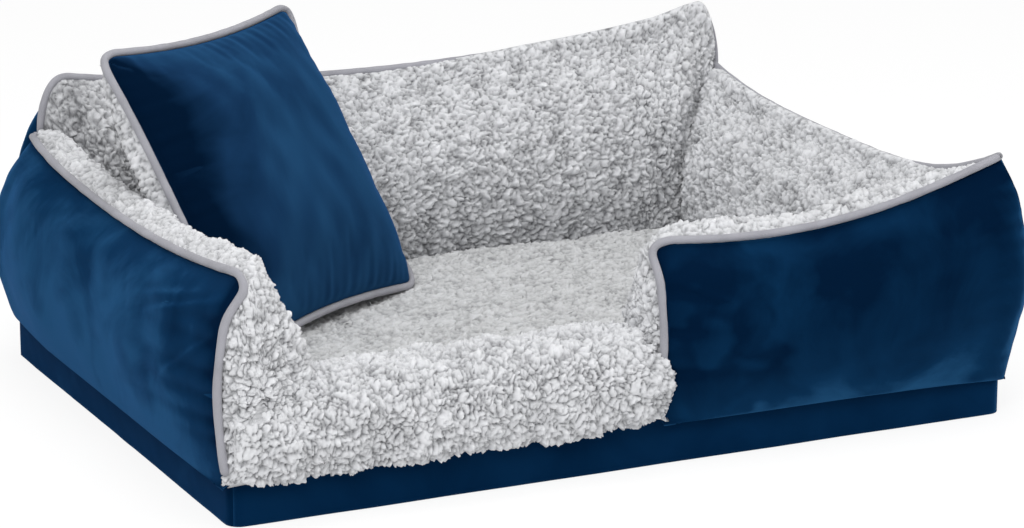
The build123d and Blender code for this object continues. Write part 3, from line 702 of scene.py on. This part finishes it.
# %% Fleece panels
def crest_height(wall, distance):
    """How far the pile stands over the piping: most at the back right, where it hides the cord."""
    share = distance / wall.length
    if wall is back:
        return 0.003 + 0.010 * ramped(share, 0.5, 0.2) + 0.006 * ramped(share, 0.9, 0.05)
    if wall is right:
        return 0.009 * ramped(share, 0, 0.06) * ramped(0.85 - share, 0, 0.15) + 0.002
    if wall is left:
        return 0.028 * ramped(1 - share, 0, 0.08, least=0.3)
    return 0.024 * ramped(1 - share, 0, 0.15, least=0.1) * ramped(share, 0, 0.1, least=0.3)


def above_roll(face):
    """Points over the entry roll are lifted on to it: the roll's top is half an ellipse across its depth."""
    middle, half_width, back_edge = 0.0265, 0.0575, -0.249
    y, z = face[..., 1], face[..., 2]
    across = np.clip((y + half_depth - middle) / half_width, -1, 1)
    under = base_top + (roll_top - base_top) * np.sqrt(1 - across ** 2)
    return stacked(face[..., 0], y, np.where(y < back_edge, np.maximum(z, under), z))


def fleece_panel(wall, rows, columns, seed):
    """Inner panel of a wall: the circular section, drawn in at the mitres, with its pile on.

    The pile thins out at a free end and at the piping, and its shade is painted darker low down and at
    the left ear, where less light gets in.
    """
    distance, t = wall.stations(rows, wall.inside, past=0.008), np.linspace(0, 1, columns)
    deep = ramped(t, 0.05, 0.2)[None, :, None]
    face = wall.inside(distance, t) * deep + wall.inside(np.clip(distance, 0, wall.length), t) * (1 - deep)
    side = normals(face) * wall.side
    for fan, gap in zip(wall.fans, wall.gaps(distance)):
        if fan:
            pinch = 0.009 * np.exp(-(np.maximum(gap, 0) / 0.018) ** 1.5)[:, None] * ramped(t, 0, 0.2)
            face = face - side * pinch[..., None]
    face = face + side * (0.004 * waves(face, 0.16, seed) * ramped(t, 0, 0.1))[..., None]
    rolled = np.sin(np.pi * ramped(t, 0, 0.25)) if wall in (left, front) else np.exp(-(t / 0.07) ** 2)
    crest = crest_height(wall, distance)[:, None] * rolled
    face = face + crest[..., None] * (0.85 * up - 0.3 * wall.outward)
    if wall is left:
        face = above_roll(face)
    lining = thinned(face - (0.0006 + 0.0034 * ramped(t, 0, 0.15))[None, :, None] * side, 8)
    thin = (np.clip(0.15 + 0.85 * wall.fullness(distance) / 0.45, 0, 1)[:, None]
            * np.clip(0.1 + t / 0.03, 0, 1))[..., None]
    comb = (1, 1, 0.62) if wall is right else (1, 1, 0.9)
    grown, shade = grow_pile(face, tuft_height * thin, tuft_size, seed, out=wall.side, comb=comb)
    # Painted shade low down on every wall, most on the back, and at the back wall's left ear.
    painted_hollow_shade = (0.34 if wall is back else 0.10) * ramped(t, 0.55, 0.3)[None]
    if wall is back:
        painted_hollow_shade = painted_hollow_shade + 0.46 * faded(distance, 0.20)[:, None]
    return shell(f"{wall.name}_fleece", grown, lining, {"pile": shade * (1 - painted_hollow_shade)}, turned=wall.side < 0)


wall_rows = {"back": 500, "right": 350, "left": 380, "front": 250}
for seed, wall in enumerate(walls, start=20):
    finish_piece(fleece_panel(wall, wall_rows[wall.name], 170, seed), "bed", "grey_fleece", wall_fleece,
                 f"{wall.name}_bolster_fleece", f"{wall.name}_bolster_filling", fill=0.85)

# %% [markdown]
# The velvet side of a wall is loose between its seams. Gathers run square to the corner seams and to the
# piped front edges, because the thread draws the cloth up there, and they fade with distance from it. A
# few longer creases start at the corners and at the piping.

# %% Gathers and creases
def gathers(along_seam, away, spacing, depth, reach, seed):
    """Ridges square to a seam: waves along the seam, uneven in length, that fade away from it."""
    rng = np.random.default_rng(seed)
    ridge = sum(np.sin(2 * np.pi * along_seam / (spacing * rng.uniform(0.6, 1.6)) + rng.uniform(0, 6.28)
                       + rng.uniform(-8, 8) * away) for _ in range(4)) / 2.2
    return depth * ridge * np.exp(-away / reach) * ramped(away, 0, 0.004)


def crease(run, rise, start, end, depth):
    """Thin ridge with a groove beside it, along a line on the panel, fading towards both ends of the line."""
    line = end - start
    length = np.linalg.norm(line)
    share = ((run - start[0]) * line[0] + (rise - start[1]) * line[1]) / length ** 2
    off = ((run - start[0]) * line[1] - (rise - start[1]) * line[0]) / length / 0.004
    return depth * np.sin(np.pi * np.clip(share, 0, 1)) * (np.exp(-off ** 2) - 0.6 * np.exp(-(off - 1.7) ** 2))


# Puckers at a free edge are (height, reach), and creases (start, end, depth) with points (along, height).
puckers = {"left": ((0.217, 0.06), (0.196, 0.09), (0.166, 0.10), (0.142, 0.08), (0.117, 0.09), (0.097, 0.04)),
           "front": ((0.190, 0.03), (0.150, 0.05), (0.104, 0.03))}
creases = {
    "left": (((0.672, 0.236), (0.500, 0.185), 0.0022), ((0.640, 0.234), (0.470, 0.196), 0.0016),
             ((0.676, 0.205), (0.560, 0.130), 0.0014)),
    "front": (((0.004, 0.205), (0.090, 0.165), 0.0014), ((0.415, 0.235), (0.330, 0.200), 0.0012)),
    "right": (((0.030, 0.215), (0.150, 0.170), 0.0016), ((0.640, 0.235), (0.520, 0.180), 0.0016)),
    "back": (((0.040, 0.235), (0.170, 0.180), 0.0016), ((0.860, 0.230), (0.740, 0.185), 0.0016),
             ((0.470, 0.270), (0.520, 0.190), 0.0012)),
}
print("creases", {name: len(lines) for name, lines in creases.items()})

# %% [markdown]
# The folds move the points of the panel, and the cloth simulation adds its billows. A value on each
# point holds where the pile has been stroked the other way, together with painted shade and painted
# highlights, and the velvet's shader adds it to its patches.

# %% Velvet panels
def nap_and_painted_light_on(wall, face, from_start, from_end, t, near_seam, seed):
    """Cloudy areas of stroked pile, and on each wall its painted shade and painted highlights."""
    cloudy = np.clip(2.2 * waves(face, 0.13, seed + 6, 3), -1, 1)
    # Painted shade under the top seam, added to the cloudy nap.
    nap_and_painted_light = 0.05 * cloudy - 0.14 * np.exp(-(1 - t) / 0.10)
    if wall is left:
        # The left wall is painted darker towards its free end, most of all high up and right at its edge, which
        # holds back the painted sheen there.
        near_free = np.exp(-from_end / 0.11)
        upper = ramped(t, 0.55, 0.25)
        nap_and_painted_light = nap_and_painted_light - 0.03 - near_free * (0.14 + 0.10 * upper) - 0.22 * np.exp(-from_end / 0.010)
    if wall is front:
        # Painted sheen along the front wall's low band, between its ends; the patch near the entry is lighter
        # nap.
        ends = (1 - np.exp(-from_start / 0.11)) * (1 - 0.8 * np.exp(-from_end / 0.06))
        low = np.exp(-((t - 0.33) / 0.10) ** 2) * ends * (1 + 0.25 * cloudy)
        patch = np.clip(2 * waves(face, 0.10, 77, 3) + 0.5, 0, 1) * np.exp(-((from_start - 0.07) / 0.10) ** 2)
        nap_and_painted_light = nap_and_painted_light - 0.04 + 0.29 * low + 0.24 * patch
    if wall is right:
        # Painted highlight on the puffed cloth beside the right wall's corner seams.
        nap_and_painted_light = nap_and_painted_light + 0.60 * near_seam
    return nap_and_painted_light


def velvet_panel(wall, rows, columns, seed):
    """Outer panel of a wall: the spline section with broad lumps, gathers, puckers, creases and billows.

    The folds are held back to nothing towards the hem and the piping, which keep their lines.
    """
    distance, t = wall.stations(rows, wall.outside), np.linspace(0, 1, columns)
    face = wall.outside(distance, t)
    side = normals(face) * wall.side
    rise = face[..., 2]
    run, gaps = distance[:, None], [gap[:, None] for gap in wall.gaps(distance)]
    lump = 0.0026 * waves(face, 0.24, seed) + 0.0005 * waves(face, 0.09, seed + 4, 2)
    lump = lump * ramped(np.minimum(*gaps), 0, 0.10)
    pulled, near_seam, painted_gather_light = np.zeros((3, *rise.shape))
    for fan, free, away in zip(wall.fans, wall.free, gaps):
        if fan:
            drawn = gathers(rise, away, 0.020, 1.0, 0.026, seed + 1)
            lump = lump + 0.0003 * drawn
            # The gathers' ridges get a painted highlight and their hollows painted shade.
            painted_gather_light = painted_gather_light + 0.13 * drawn
            near_seam = np.maximum(near_seam, np.exp(-away / 0.03))
        if free:
            for height, reach in puckers[wall.name]:
                line = (rise - height + 0.06 * away) / 0.0072
                pulled = pulled + np.exp(-line ** 2 - away / reach) * ramped(away, 0, 0.003)
            lump = lump - 0.0030 * pulled - 0.002 * np.exp(-away / 0.02)
    for start, end, depth in creases[wall.name]:
        lump = lump + crease(run, rise, np.array(start), np.array(end), depth)
    hold = np.minimum(ramped(t, 0.28, 0.25, least=0.04), ramped(1 - t, 0, 0.05, least=0.04))
    face = face + side * (lump * hold)[..., None]
    loose = billow(face, rows // 5, columns // 4, spare=0.012, cap=0.007, keep=0.16, turned=wall.side < 0)
    face = face + loose * np.minimum(ramped(t, 0.3, 0.2), ramped(1 - t, 0, 0.1))[None, :, None]
    # Painted shade in the pucker grooves and the gathers' painted light join the wall's own painted light and
    # nap.
    nap_and_painted_light = nap_and_painted_light_on(wall, face, *gaps, t, near_seam, seed) - 0.24 * pulled + painted_gather_light
    lining = thinned(face - 0.0015 * side, 6)
    return shell(f"{wall.name}_velvet", face, lining, {"nap_and_painted_light": nap_and_painted_light}, turned=wall.side < 0)


for seed, wall in zip((40, 47, 54, 61), walls):
    finish_piece(velvet_panel(wall, wall_rows[wall.name], 96, seed), "bed", "navy_velvet", wall_velvet,
                 f"{wall.name}_bolster_velvet", fill=0.85)

# %% [markdown]
# The entry roll is a long stuffed tube of fleece that lies flat on the base and ends in a soft rounding
# against the front wall, where it laps a little over the piping. It is the same kind of section, with
# an outer and an inner circle, scaled down towards its right-hand end.

# %% Entry roll
def roll_face(rows, columns):
    """Roll from foot over the front to the top and down inside, its right end scaled down and lapped over.

    The lower front hangs by a product of two ramps, one down the front and one out from the base.
    """
    right_end, inset = entry_right - 0.010, 0.024
    x = np.linspace(-half_length - 0.002, right_end, rows)
    full = 0.78 + 0.22 * rounded(right_end - x, 0.034)
    top = base_top + (roll_top - base_top) * full
    waist = base_top + (top - base_top) * waist_share
    out, foot, deep, back_foot = ((reach + inset) * full - inset for reach in (0.031, 0.012, -0.084, -0.076))
    seam, t = stacked(-inset, top), np.linspace(0, 1, columns // 2)
    over = arc(stacked(foot, base_top), stacked(out, waist), seam, t)
    down = arc(seam, stacked(deep, waist), stacked(back_foot, base_top), t)
    depth, z = np.moveaxis(np.concatenate([over, down[:, 1:]], axis=1), -1, 0)
    z = z - 0.014 * ramped(base_top + 0.03 - z, 0, 0.03) * ramped(depth, 0.004, 0.014)
    lapped = ramped(depth, 0.004, 0.018) * faded(right_end - x, 0.05)[:, None] ** 2
    return domed(stacked(x[:, None] + 0.020 * lapped, -half_depth - depth, z), 0.009)


def domed(face, reach):
    """Rings added at both ends of a tube: each is the end ring drawn in to its middle by the cosine of a turn."""
    turn = np.linspace(0, 0.49 * np.pi, 12)[1:, None, None]
    caps = []
    for ring, side in ((face[0], -0.5), (face[-1], 1)):
        middle = ring.mean(axis=0)
        caps.append(middle + (ring - middle) * np.cos(turn) + np.array([side * reach, 0, 0]) * np.sin(turn))
    return np.concatenate([caps[0][::-1], face, caps[1]])


face = roll_face(370, 210)
side = normals(face)
face = face + side * (0.003 * waves(face, 0.09, 61))[..., None]
tall = 0.0012 + 0.0073 * ramped(face[..., 0] + half_length, 0.001, 0.016)
grown, shade = grow_pile(face, tall[..., None], 0.0092, 62)
roll = shell("entry_roll", grown, thinned(face - 0.004 * side, 12), {"pile": shade})
finish_piece(roll, "bed", "grey_fleece", wall_fleece, "entry_roll_cover", "entry_roll_filling", fill=0.8)

# %% [markdown]
# The seat is a thin wadded panel, pressed flatter by use, so its pile is shorter. Its colours are a
# little darker than the walls'. Its edge rolls down between the walls, which leaves the dark line that
# runs round it.

# %% Seat
def seat_face(rows, columns):
    """Nearly flat sheet whose border rolls down: the fall is a high power of the distance from the middle."""
    gap, front_foot = 0.004, 0.076
    x = np.linspace(-half_length + foot_depth + gap, half_length - foot_depth - gap, rows)
    y = np.linspace(-half_depth + front_foot + gap, half_depth - foot_depth - gap, columns)
    u, v = np.linspace(-1, 1, rows)[:, None], np.linspace(-1, 1, columns)
    z = seat_top + 0.002 - 0.014 * np.maximum(abs(u) ** 40, abs(v) ** 30)
    flat = stacked(x[:, None], y, z)
    flat[..., 2] += 0.002 * waves(flat, 0.18, 71)
    return flat


face = seat_face(360, 250)
lining = face[:, ::16].copy()
lining[..., 2] = base_top + 0.001
grown, shade = grow_pile(face, 0.0060, 0.0095, 72, lean=0.7)
finish_piece(shell("seat", grown, lining, {"pile": shade}), "bed", "grey_fleece", seat_cloth,
             "seat_fleece", "seat_wadding", fill=0.7)

# %% [markdown]
# A fleece panel closes the free end of the left wall and of the front wall, inside the piping. It is a
# dome over the outline of the section: rings of points shrink towards the middle of the outline.

# %% End panels
def soften(path, rounds, closed=False):
    """Each point moves to the mean of its neighbours and itself, several times over."""
    for _ in range(rounds):
        if closed:
            path = (np.roll(path, 1, axis=0) + path + np.roll(path, -1, axis=0)) / 3
        else:
            path = np.concatenate([path[:1], (path[:-2] + path[1:-1] + path[2:]) / 3, path[-1:]])
    return path


def end_panel(wall, distance, direction, seed):
    """Dome over the section: each ring is the outline drawn in to its middle, and stands further out.

    The outer border laps a little under the velvet, and the inner one further under the fleece.
    """
    at, t = np.array([distance]), np.linspace(0, 1, 200)
    outer, inner = wall.outside(at, t[26:])[0], wall.inside(at, t)[0][1:]
    middle = np.concatenate([outer, inner]).mean(axis=0)
    outline = np.concatenate([outer + unit(middle - outer) * 0.007, inner])
    lap = soften(np.repeat([0.03, 0.20], [len(outer), len(inner)]), 200, closed=True)
    share = np.linspace(1, 0, 56)[:, None, None]
    spread = share * (1 + lap[None, :, None] * share ** 4)
    along = wall.along * direction
    face = middle + (outline - middle) * spread + along * (0.016 - 0.019 * share ** 3)
    lining = face[::8] - 0.003 * along
    grown, shade = grow_pile(face, tuft_height * ramped(1 - share, 0, 0.08), tuft_size, seed, out=direction)
    rings = np.concatenate([grown, lining[::-1]])
    values = {"pile": np.concatenate([shade, np.zeros(lining.shape[:2])])}
    return skin(f"{wall.name}_end", rings, rings[..., [0, 2]], values, closed=True, turned=direction < 0)


for wall, distance, direction, seed in ((left, left.length, 1, 81), (front, 0.0, -1, 82)):
    finish_piece(end_panel(wall, distance, direction, seed), "bed", "grey_fleece", wall_fleece,
                 f"{wall.name}_bolster_end", fill=0.8)

# %% [markdown]
# Piping is a cord sewn into a folded strip of cloth. It is a round profile carried along a path: at each
# point of the path the circle lies square to the path's run. A curve with a bevel would do the same;
# the array version keeps the weave's coordinates running along the cord.

# %% Piping
seam_stand = 0.0042


def tube(name, path, radius, sideways, seed, closed=False, squash=0.94):
    """Circle carried along a path, a little flat across the sideways direction, and rounded off at its tips."""
    run = unit(np.roll(path, -1, axis=0) - np.roll(path, 1, axis=0) if closed else np.gradient(path, axis=0))
    side = unit(sideways - run * (run @ sideways)[:, None])
    lift = np.cross(run, side)
    turn = np.linspace(0, 2 * np.pi, 20, endpoint=False)
    length = run_length(path)
    wobble = radius * (1 + 0.05 * waves(path, 0.03, seed, 2))[:, None, None]
    if not closed:
        wobble = wobble * rounded(np.minimum(length, length[-1] - length), radius, least=0.04)[:, None, None]
    circle = side[:, None] * np.cos(turn)[:, None] + squash * lift[:, None] * np.sin(turn)[:, None]
    return skin(name, path[:, None] + wobble * circle, stacked(length[:, None], turn * radius),
                closed=closed, turned=True)


def even(path, step=0.0025):
    """The path read again at even steps along its length."""
    length = run_length(path)
    at = np.linspace(0, length[-1], int(length[-1] / step))
    return np.stack([np.interp(at, length, path[:, k]) for k in range(3)], axis=-1)


def wall_piping(wall, hold_start=0.0, hold_end=0.0):
    """Top seam pushed out square to its run, and at a free end carried on down the front edge."""
    distance = np.linspace(hold_start, wall.length - hold_end, 900)
    seam = wall.outside(distance, np.array([1.0]))[:, 0]
    run = np.gradient(seam, axis=0)
    free_start, free_end = wall.free
    if free_start:
        run[0] = up
    if free_end:
        run[-1] = -up
    path = seam + unit(-wall.along * run[:, 2:] + up * (run @ wall.along)[:, None]) * seam_stand
    down = np.linspace(1, 0.37, 140)[1:]
    if free_end:
        path = np.concatenate([path, wall.outside(distance[-1:], down)[0] + wall.along * seam_stand])
    if free_start:
        edge = wall.outside(distance[:1], down)[0] - wall.along * seam_stand
        path = np.concatenate([edge[::-1], path])
    return soften(even(path), 6)


holds = {"back": (0, 0), "right": (0.001, 0), "left": (0.001, 0), "front": (0, 0.001)}
for seed, wall in enumerate(walls, start=90):
    cord = tube(f"{wall.name}_piping", wall_piping(wall, *holds[wall.name]), piping_radius, wall.outward, seed)
    finish_piece(cord, "bed", "grey_piping", piping_cloth, f"{wall.name}_bolster_piping")

# %% [markdown]
# The base is a foam slab in a velvet box: four side bands with a seam at each corner, and a woven sheet
# underneath. Foam holds the cloth almost flat, so the bands only waver by a millimetre and draw in at
# the seams. The back band is straight, with a slot where the zip shows.

# %% Base
band_columns, band_rows = 241, 25
slot_half_length, slot_height, slot_half_width = 0.233, 0.032, 0.0042


def base_point(share, side):
    """Point on the rounded rectangle, for a share from 0 to 1 along one side, from corner to corner."""
    half, other = (half_length, half_depth) if side in ("front", "back") else (half_depth, half_length)
    straight = half - base_corner
    total = 2 * half - 2 * base_corner + base_corner * np.pi / 2
    run = share * total - total / 2
    over = np.clip(abs(run) - straight, 0, None) / base_corner
    along = np.sign(run) * (np.minimum(abs(run), straight) + base_corner * np.sin(over))
    out = other - base_corner * (1 - np.cos(over))
    return along, out, stacked(np.sign(run) * np.sin(over), np.cos(over))


def base_band(side, seed):
    """Band grid: share along the side by height, wavering outwards and drawn in at the corner seams."""
    shares, heights = np.linspace(0, 1, band_columns), np.linspace(0.0004, base_height, band_rows)
    along, out, lean = base_point(shares, side)
    away = np.minimum(shares, 1 - shares)[:, None] * (base_length if side in ("front", "back") else base_depth)
    corner = np.exp(-(away / 0.003) ** 1.5)
    waver = 0.0004 * waves(stacked(along[:, None], 0.0, heights), 0.12, seed) + 0.0004 - 0.0006 * corner
    waver = waver * ramped(away, 0, 0.02) - 0.0002 * corner
    if side == "back":
        waver = np.zeros_like(waver)
    x, y = along[:, None] + lean[:, :1] * waver, out[:, None] + lean[:, 1:] * waver
    z = np.broadcast_to(heights, x.shape)
    grid = stacked(*{"front": (x, -y, z), "back": (-x, y, z), "right": (y, x, z), "left": (-y, -x, z)}[side])
    faces = quads(band_columns, band_rows)
    if side == "back":
        middle = grid.reshape(-1, 3)[faces].mean(axis=1)
        beside = abs(middle[:, 0]) >= slot_half_length
        faces = faces[beside | (abs(middle[:, 2] - slot_height) >= slot_half_width)]
    # Nap in soft waves, and painted shade that makes the whole left band darker.
    nap_and_painted_light = 0.05 * waves(grid, 0.10, seed + 50, 3) - (0.30 if side == "left" else 0)
    piece = build(f"base_{side}", grid, faces, uv=stacked(shares[:, None], z), values={"nap_and_painted_light": nap_and_painted_light})
    cloth = piece.modifiers.new("Cloth thickness", "SOLIDIFY")
    cloth.thickness, cloth.offset = 0.0013, -1
    return piece


for seed, side in enumerate(("front", "back", "left", "right"), start=100):
    finish_piece(base_band(side, seed), "bed", "navy_velvet", base_velvet, f"base_{side}_band", fill=1.0)

# %% [markdown]
# The sheet underneath is the base's outline, drawn in ring by ring: flat below, round at its hem and
# flat again above, so that it has the thickness of its cloth.

# %% Underside
along, out, _ = base_point(np.linspace(0, 1, 60), "front")
front_edge = stacked(along, -out)
along, out, _ = base_point(np.linspace(0, 1, 60), "right")
right_edge = stacked(out, along)[1:-1]
outline = np.concatenate([front_edge, right_edge, -front_edge, -right_edge])[::-1]
share_and_height = (0.001, 0.0), (0.5, 0.0), (0.995, 0.0), (1.0, 0.0008), (0.995, 0.0016), (0.001, 0.0016)
rings = np.stack([stacked(*(outline * share).T, height) for share, height in share_and_height])
sheet = skin("underside", rings, rings[..., :2])
finish_piece(sheet, "bed", "lining", lining_cloth, "base_underside", fill=1.0)

# %% [markdown]
# The loose cushion is a square cover stuffed until it crowns. It leans in the corner, so it is worked out
# flat in its own plane and then carried to its place by three directions: across it, up its slope and
# out of its velvet face. Its zip lies in the lower seam.

# %% Where the cushion lies
half_cushion, cushion_reach = 0.175, 0.18
turn, lean_back, roll_down = np.radians(33.5), np.radians(31.1), np.radians(1.2)
across = np.array([np.cos(turn) * np.cos(roll_down), np.sin(turn) * np.cos(roll_down), -np.sin(roll_down)])
facing = np.array([np.sin(turn) * np.cos(lean_back), -np.cos(turn) * np.cos(lean_back), np.sin(lean_back)])
facing = unit(facing - across * (facing @ across))
upward = np.cross(facing, across)
low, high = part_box("cushion_piping")
lowest = min((across * x - upward * cushion_reach)[2] for x in (-cushion_reach, cushion_reach))
centre = np.array([-0.229, 0.101, low.z - lowest + 0.0045])
print("cushion centre", centre.round(3), "and its piping from", round(low.z, 3), "to", round(high.z, 3), "m up")


def cushion_place(flat):
    """Cushion coordinates into the bed's."""
    return centre + flat[..., :1] * across + flat[..., 1:2] * upward + flat[..., 2:] * facing


def cushion_outline(u, v):
    """Square with round corners, its upper and lower edges and its right side drawn in as parabolas."""
    size, corner = half_cushion, 0.022
    x, y = size * u, size * v
    beyond_x, beyond_y = np.maximum(abs(x) - size + corner, 0), np.maximum(abs(y) - size + corner, 0)
    bend = np.maximum(beyond_x, beyond_y) / np.maximum(np.hypot(beyond_x, beyond_y), 1e-9)
    round_off = np.where((beyond_x > 0) & (beyond_y > 0), bend, 1)
    x, y = x - np.sign(x) * beyond_x * (1 - round_off), y - np.sign(y) * beyond_y * (1 - round_off)
    to_right, to_left, to_top, to_bottom = (np.clip(way, 0, 1) for way in (u, -u, v, -v))
    y = y - 0.015 * v * (1 - u ** 2)
    x = x - 0.014 * to_right ** 2 * (1 - v ** 2)
    x = x - 0.010 * to_left ** 3 * to_top ** 3
    low_right = to_right ** 4 * to_bottom ** 4
    return x - 0.007 * low_right, y + 0.006 * low_right


def seam_depth(u, v):
    """The seam sits a little behind the fullest place on the right, most of all half way up."""
    return -0.018 * ramped(u, 0.3, 0.7) ** 2 * (1 - 0.6 * v ** 4)


def cushion_face(count, crown, edge):
    """Crowned face: the height is the product of two flattened bells, one along each side."""
    u, v = np.meshgrid(np.linspace(-1, 1, count), np.linspace(-1, 1, count), indexing="ij")
    bell = (np.clip(1 - abs(u) ** 3, 0, 1) * np.clip(1 - abs(v) ** 2.6, 0, 1)) ** 0.6
    return stacked(*cushion_outline(u, v), edge + (crown - edge) * bell + seam_depth(u, v) * (1 - bell)), u, v


# %% [markdown]
# The velvet front has gathers along its seam and billows like the walls. Its left edge is painted in
# shade, and its top and right a little darker. The fleece back carries the same pile as the walls and
# bulges on the left, where it rests on them.

# %% Cushion's two faces
flat, u, v = cushion_face(150, 0.050, 0.0005)
away = np.minimum(1 - abs(u), 1 - abs(v)) * half_cushion
run = np.where(abs(u) > abs(v), v, u) * half_cushion
flat[..., 2] += (gathers(run, away, 0.022, 0.0010, 0.016, 111)
                 + 0.004 * waves(flat, 0.18, 112) * ramped(away, 0, 0.05))
flat = flat + billow(flat, 50, 50, spare=0.014, cap=0.010, keep=0.35) * ramped(away, 0, 0.02)[..., None]
# Painted shade: a dark band along the left edge, and darker towards the top and the right; the waves are nap.
shaded = ramped(-0.75 + 0.14 * waves(flat, 0.15, 115, 3) - 0.12 * ramped(v, 0.5, 0.5) - u, 0, 0.32)
nap_and_painted_light = (0.17 + 0.04 * waves(flat, 0.10, 116, 2) - 0.15 * np.clip(v, 0, 1) - 0.06 * np.clip(u, 0, 1)
           - 0.36 * shaded)
velvet_face = shell("cushion_front", cushion_place(flat), cushion_place(flat[:, ::10] - 0.0012 * up),
                    {"nap_and_painted_light": nap_and_painted_light})
finish_piece(velvet_face, "cushion", "navy_velvet", cushion_velvet,
             "cushion_velvet", "cushion_filling", fill=0.75)

flat, u, v = cushion_face(190, -0.050, -0.0025)
flat[..., 0] -= 0.024 * np.sin(np.pi * ramped(1 + u, 0, 0.25)) * (1 - v ** 8)
grown, shade = grow_pile(flat, 0.0065, tuft_size, 113, out=-1.0)
fleece_face = shell("cushion_back", cushion_place(grown), cushion_place(flat[:, ::10] + 0.002 * up),
                    {"pile": shade}, turned=True)
finish_piece(fleece_face, "cushion", "grey_fleece", wall_fleece, "cushion_fleece", fill=0.75)

# %% [markdown]
# The cushion's piping is the same tube as on the walls, closed into a ring that follows the outline.

# %% Cushion's piping
edge, one = np.linspace(-1, 1, 240, endpoint=False), np.ones(240)
u, v = np.concatenate([edge, one, -edge, -one]), np.concatenate([-one, edge, one, -edge])
x, y = cushion_outline(u, v)
outwards = unit(stacked(np.gradient(y), -np.gradient(x)))
ring_path = stacked(x, y, seam_depth(u, v))
ring_path[:, :2] += 0.0040 * outwards
ring_path = cushion_place(soften(ring_path, 6, closed=True))
ring = tube("cushion_ring", ring_path, piping_radius, facing, 95, closed=True)
finish_piece(ring, "cushion", "grey_piping", piping_cloth, "cushion_piping")

# %% [markdown]
# The zips are real parts of the frame, so their solids stay and only get their finish: nickel-plated
# sliders and pulls, nylon teeth and woven tape. Foam and lining inside the base are finished too.

# %% Finishes of the solid parts
def hard_finish(name, low, high, scale, **values):
    """Nickel or nylon: fine noise takes the colour between two close tones."""
    material, tree, shader = new_material(name, **values)
    colour_and_relief(tree, shader, ramp(tree, noise(tree, scale=scale, detail=3.0), (0.3, low), (0.7, high)))
    return material


nickel = hard_finish("nickel", "a9aaac", "cfd0d2", 900.0, roughness=0.32, metallic=1.0)
nylon = hard_finish("nylon teeth", "0c1c33", "152c4d", 400.0, roughness=0.45)
finishes = {"zip_tape": tape_cloth, "zip_teeth": nylon, "zip_slider": nickel, "zip_pull": nickel,
            "base_foam": foam_face, "base_top_lining": lining_cloth}
for node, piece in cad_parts.items():
    for ending, material in finishes.items():
        if node.endswith(ending):
            for material_slot in piece.material_slots:
                material_slot.material = material
            if not piece.material_slots:
                piece.data.materials.append(material)
            print(node, "in", material.name)

# %% [markdown]
# A plain studio: a pale floor, a wide soft light from the front left, a weaker one from the right and one
# overhead, and an even white surround. The floor and the surround are pure white to the camera, so the
# background stays white without any more light on the cloth.

# %% Lamps
def studio_light(name, place, target, size, power):
    """Square area lamp that looks at a target."""
    lamp = bpy.data.lights.new(name, "AREA")
    lamp.size, lamp.energy = size, power
    piece = bpy.data.objects.new(name, lamp)
    piece.location = place
    piece.rotation_euler = (Vector(target) - Vector(place)).to_track_quat("-Z", "Y").to_euler()
    bpy.context.collection.objects.link(piece)
    print(name, power, "W")


studio_light("key", (-1.7, -2.3, 2.2), (0, 0, 0.1), 1.6, 54)
studio_light("fill", (2.2, -2.0, 1.4), (0, 0, 0.15), 2.0, 17)
studio_light("top", (0.0, -0.2, 2.7), (0, 0, 0.1), 1.8, 30)

# %% [markdown]
# Light Path tells a shader who is looking. The camera sees mostly a glowing white floor, with a part of
# the real one mixed in so that the bed keeps its shadow, and it sees a white surround. The cloth is lit
# by the dimmer one.

# %% Floor and surround
floor_reach, floor_height = 12.0, -0.0006
corners = [(x * floor_reach, y * floor_reach, floor_height) for x, y in ((-1, -1), (1, -1), (1, 1), (-1, 1))]
floor_mesh = bpy.data.meshes.new("floor")
floor_mesh.from_pydata(corners, [], [(0, 1, 2, 3)])
floor = bpy.data.objects.new("floor", floor_mesh)
bpy.context.collection.objects.link(floor)
paper, tree, shader = new_material("paper floor", roughness=0.9)
shader.inputs["Base Color"].default_value = tone("f4f4f4")
glow = add_node(tree, "Emission", strength=1.06).outputs["Emission"]
watched = maths(tree, "MULTIPLY", add_node(tree, "LightPath").outputs["Is Camera Ray"], 0.8)
blend = add_node(tree, "MixShader", watched, shader.outputs["BSDF"], glow)
put(tree, tree.nodes["Material Output"].inputs["Surface"], blend.outputs["Shader"])
floor_mesh.materials.append(paper)

world = bpy.data.worlds.new("studio")
bpy.context.scene.world = world
world.use_nodes = True
tree = world.node_tree
sky = tree.nodes["Background"]
sky.inputs["Color"].default_value = (1, 1, 1, 1)
sky.inputs["Strength"].default_value = 0.48
seen = add_node(tree, "Background", strength=1.0).outputs["Background"]
rays = add_node(tree, "LightPath").outputs
watched = maths(tree, "MAXIMUM", rays["Is Camera Ray"], rays["Is Glossy Ray"])
blend = add_node(tree, "MixShader", watched, sky.outputs["Background"], seen)
put(tree, tree.nodes["World Output"].inputs["Surface"], blend.outputs["Shader"])
bpy.context.scene.view_settings.view_transform = "Standard"
print("floor", floor_reach * 2, "m wide, surround", sky.inputs["Strength"].default_value)

# %% [markdown]
# The camera stands where the photograph was taken from. Its place comes from the base's straight edges:
# their slopes in the picture give the direction, and their lengths give the distance and the lens.

# %% Camera
azimuth, elevation, tilt = np.radians(-25.214), np.radians(15.613), np.radians(0.049)
target = Vector((0.017374, 0, 0.134602))
away = Vector((np.sin(azimuth) * np.cos(elevation), -np.cos(azimuth) * np.cos(elevation), np.sin(elevation)))
camera = bpy.data.objects.new("camera", bpy.data.cameras.new("camera"))
camera.data.sensor_width = 36
camera.data.lens = 4000 / 1024 * 36
camera.data.clip_end = 60
turned = away.to_track_quat("Z", "Y").to_matrix().to_4x4()
camera.matrix_world = Matrix.Translation(target + away * 4.439736) @ turned @ Matrix.Rotation(tilt, 4, "Z")
bpy.context.collection.objects.link(camera)
bpy.context.scene.camera = camera
print("camera with a lens of", round(camera.data.lens, 1), "mm")
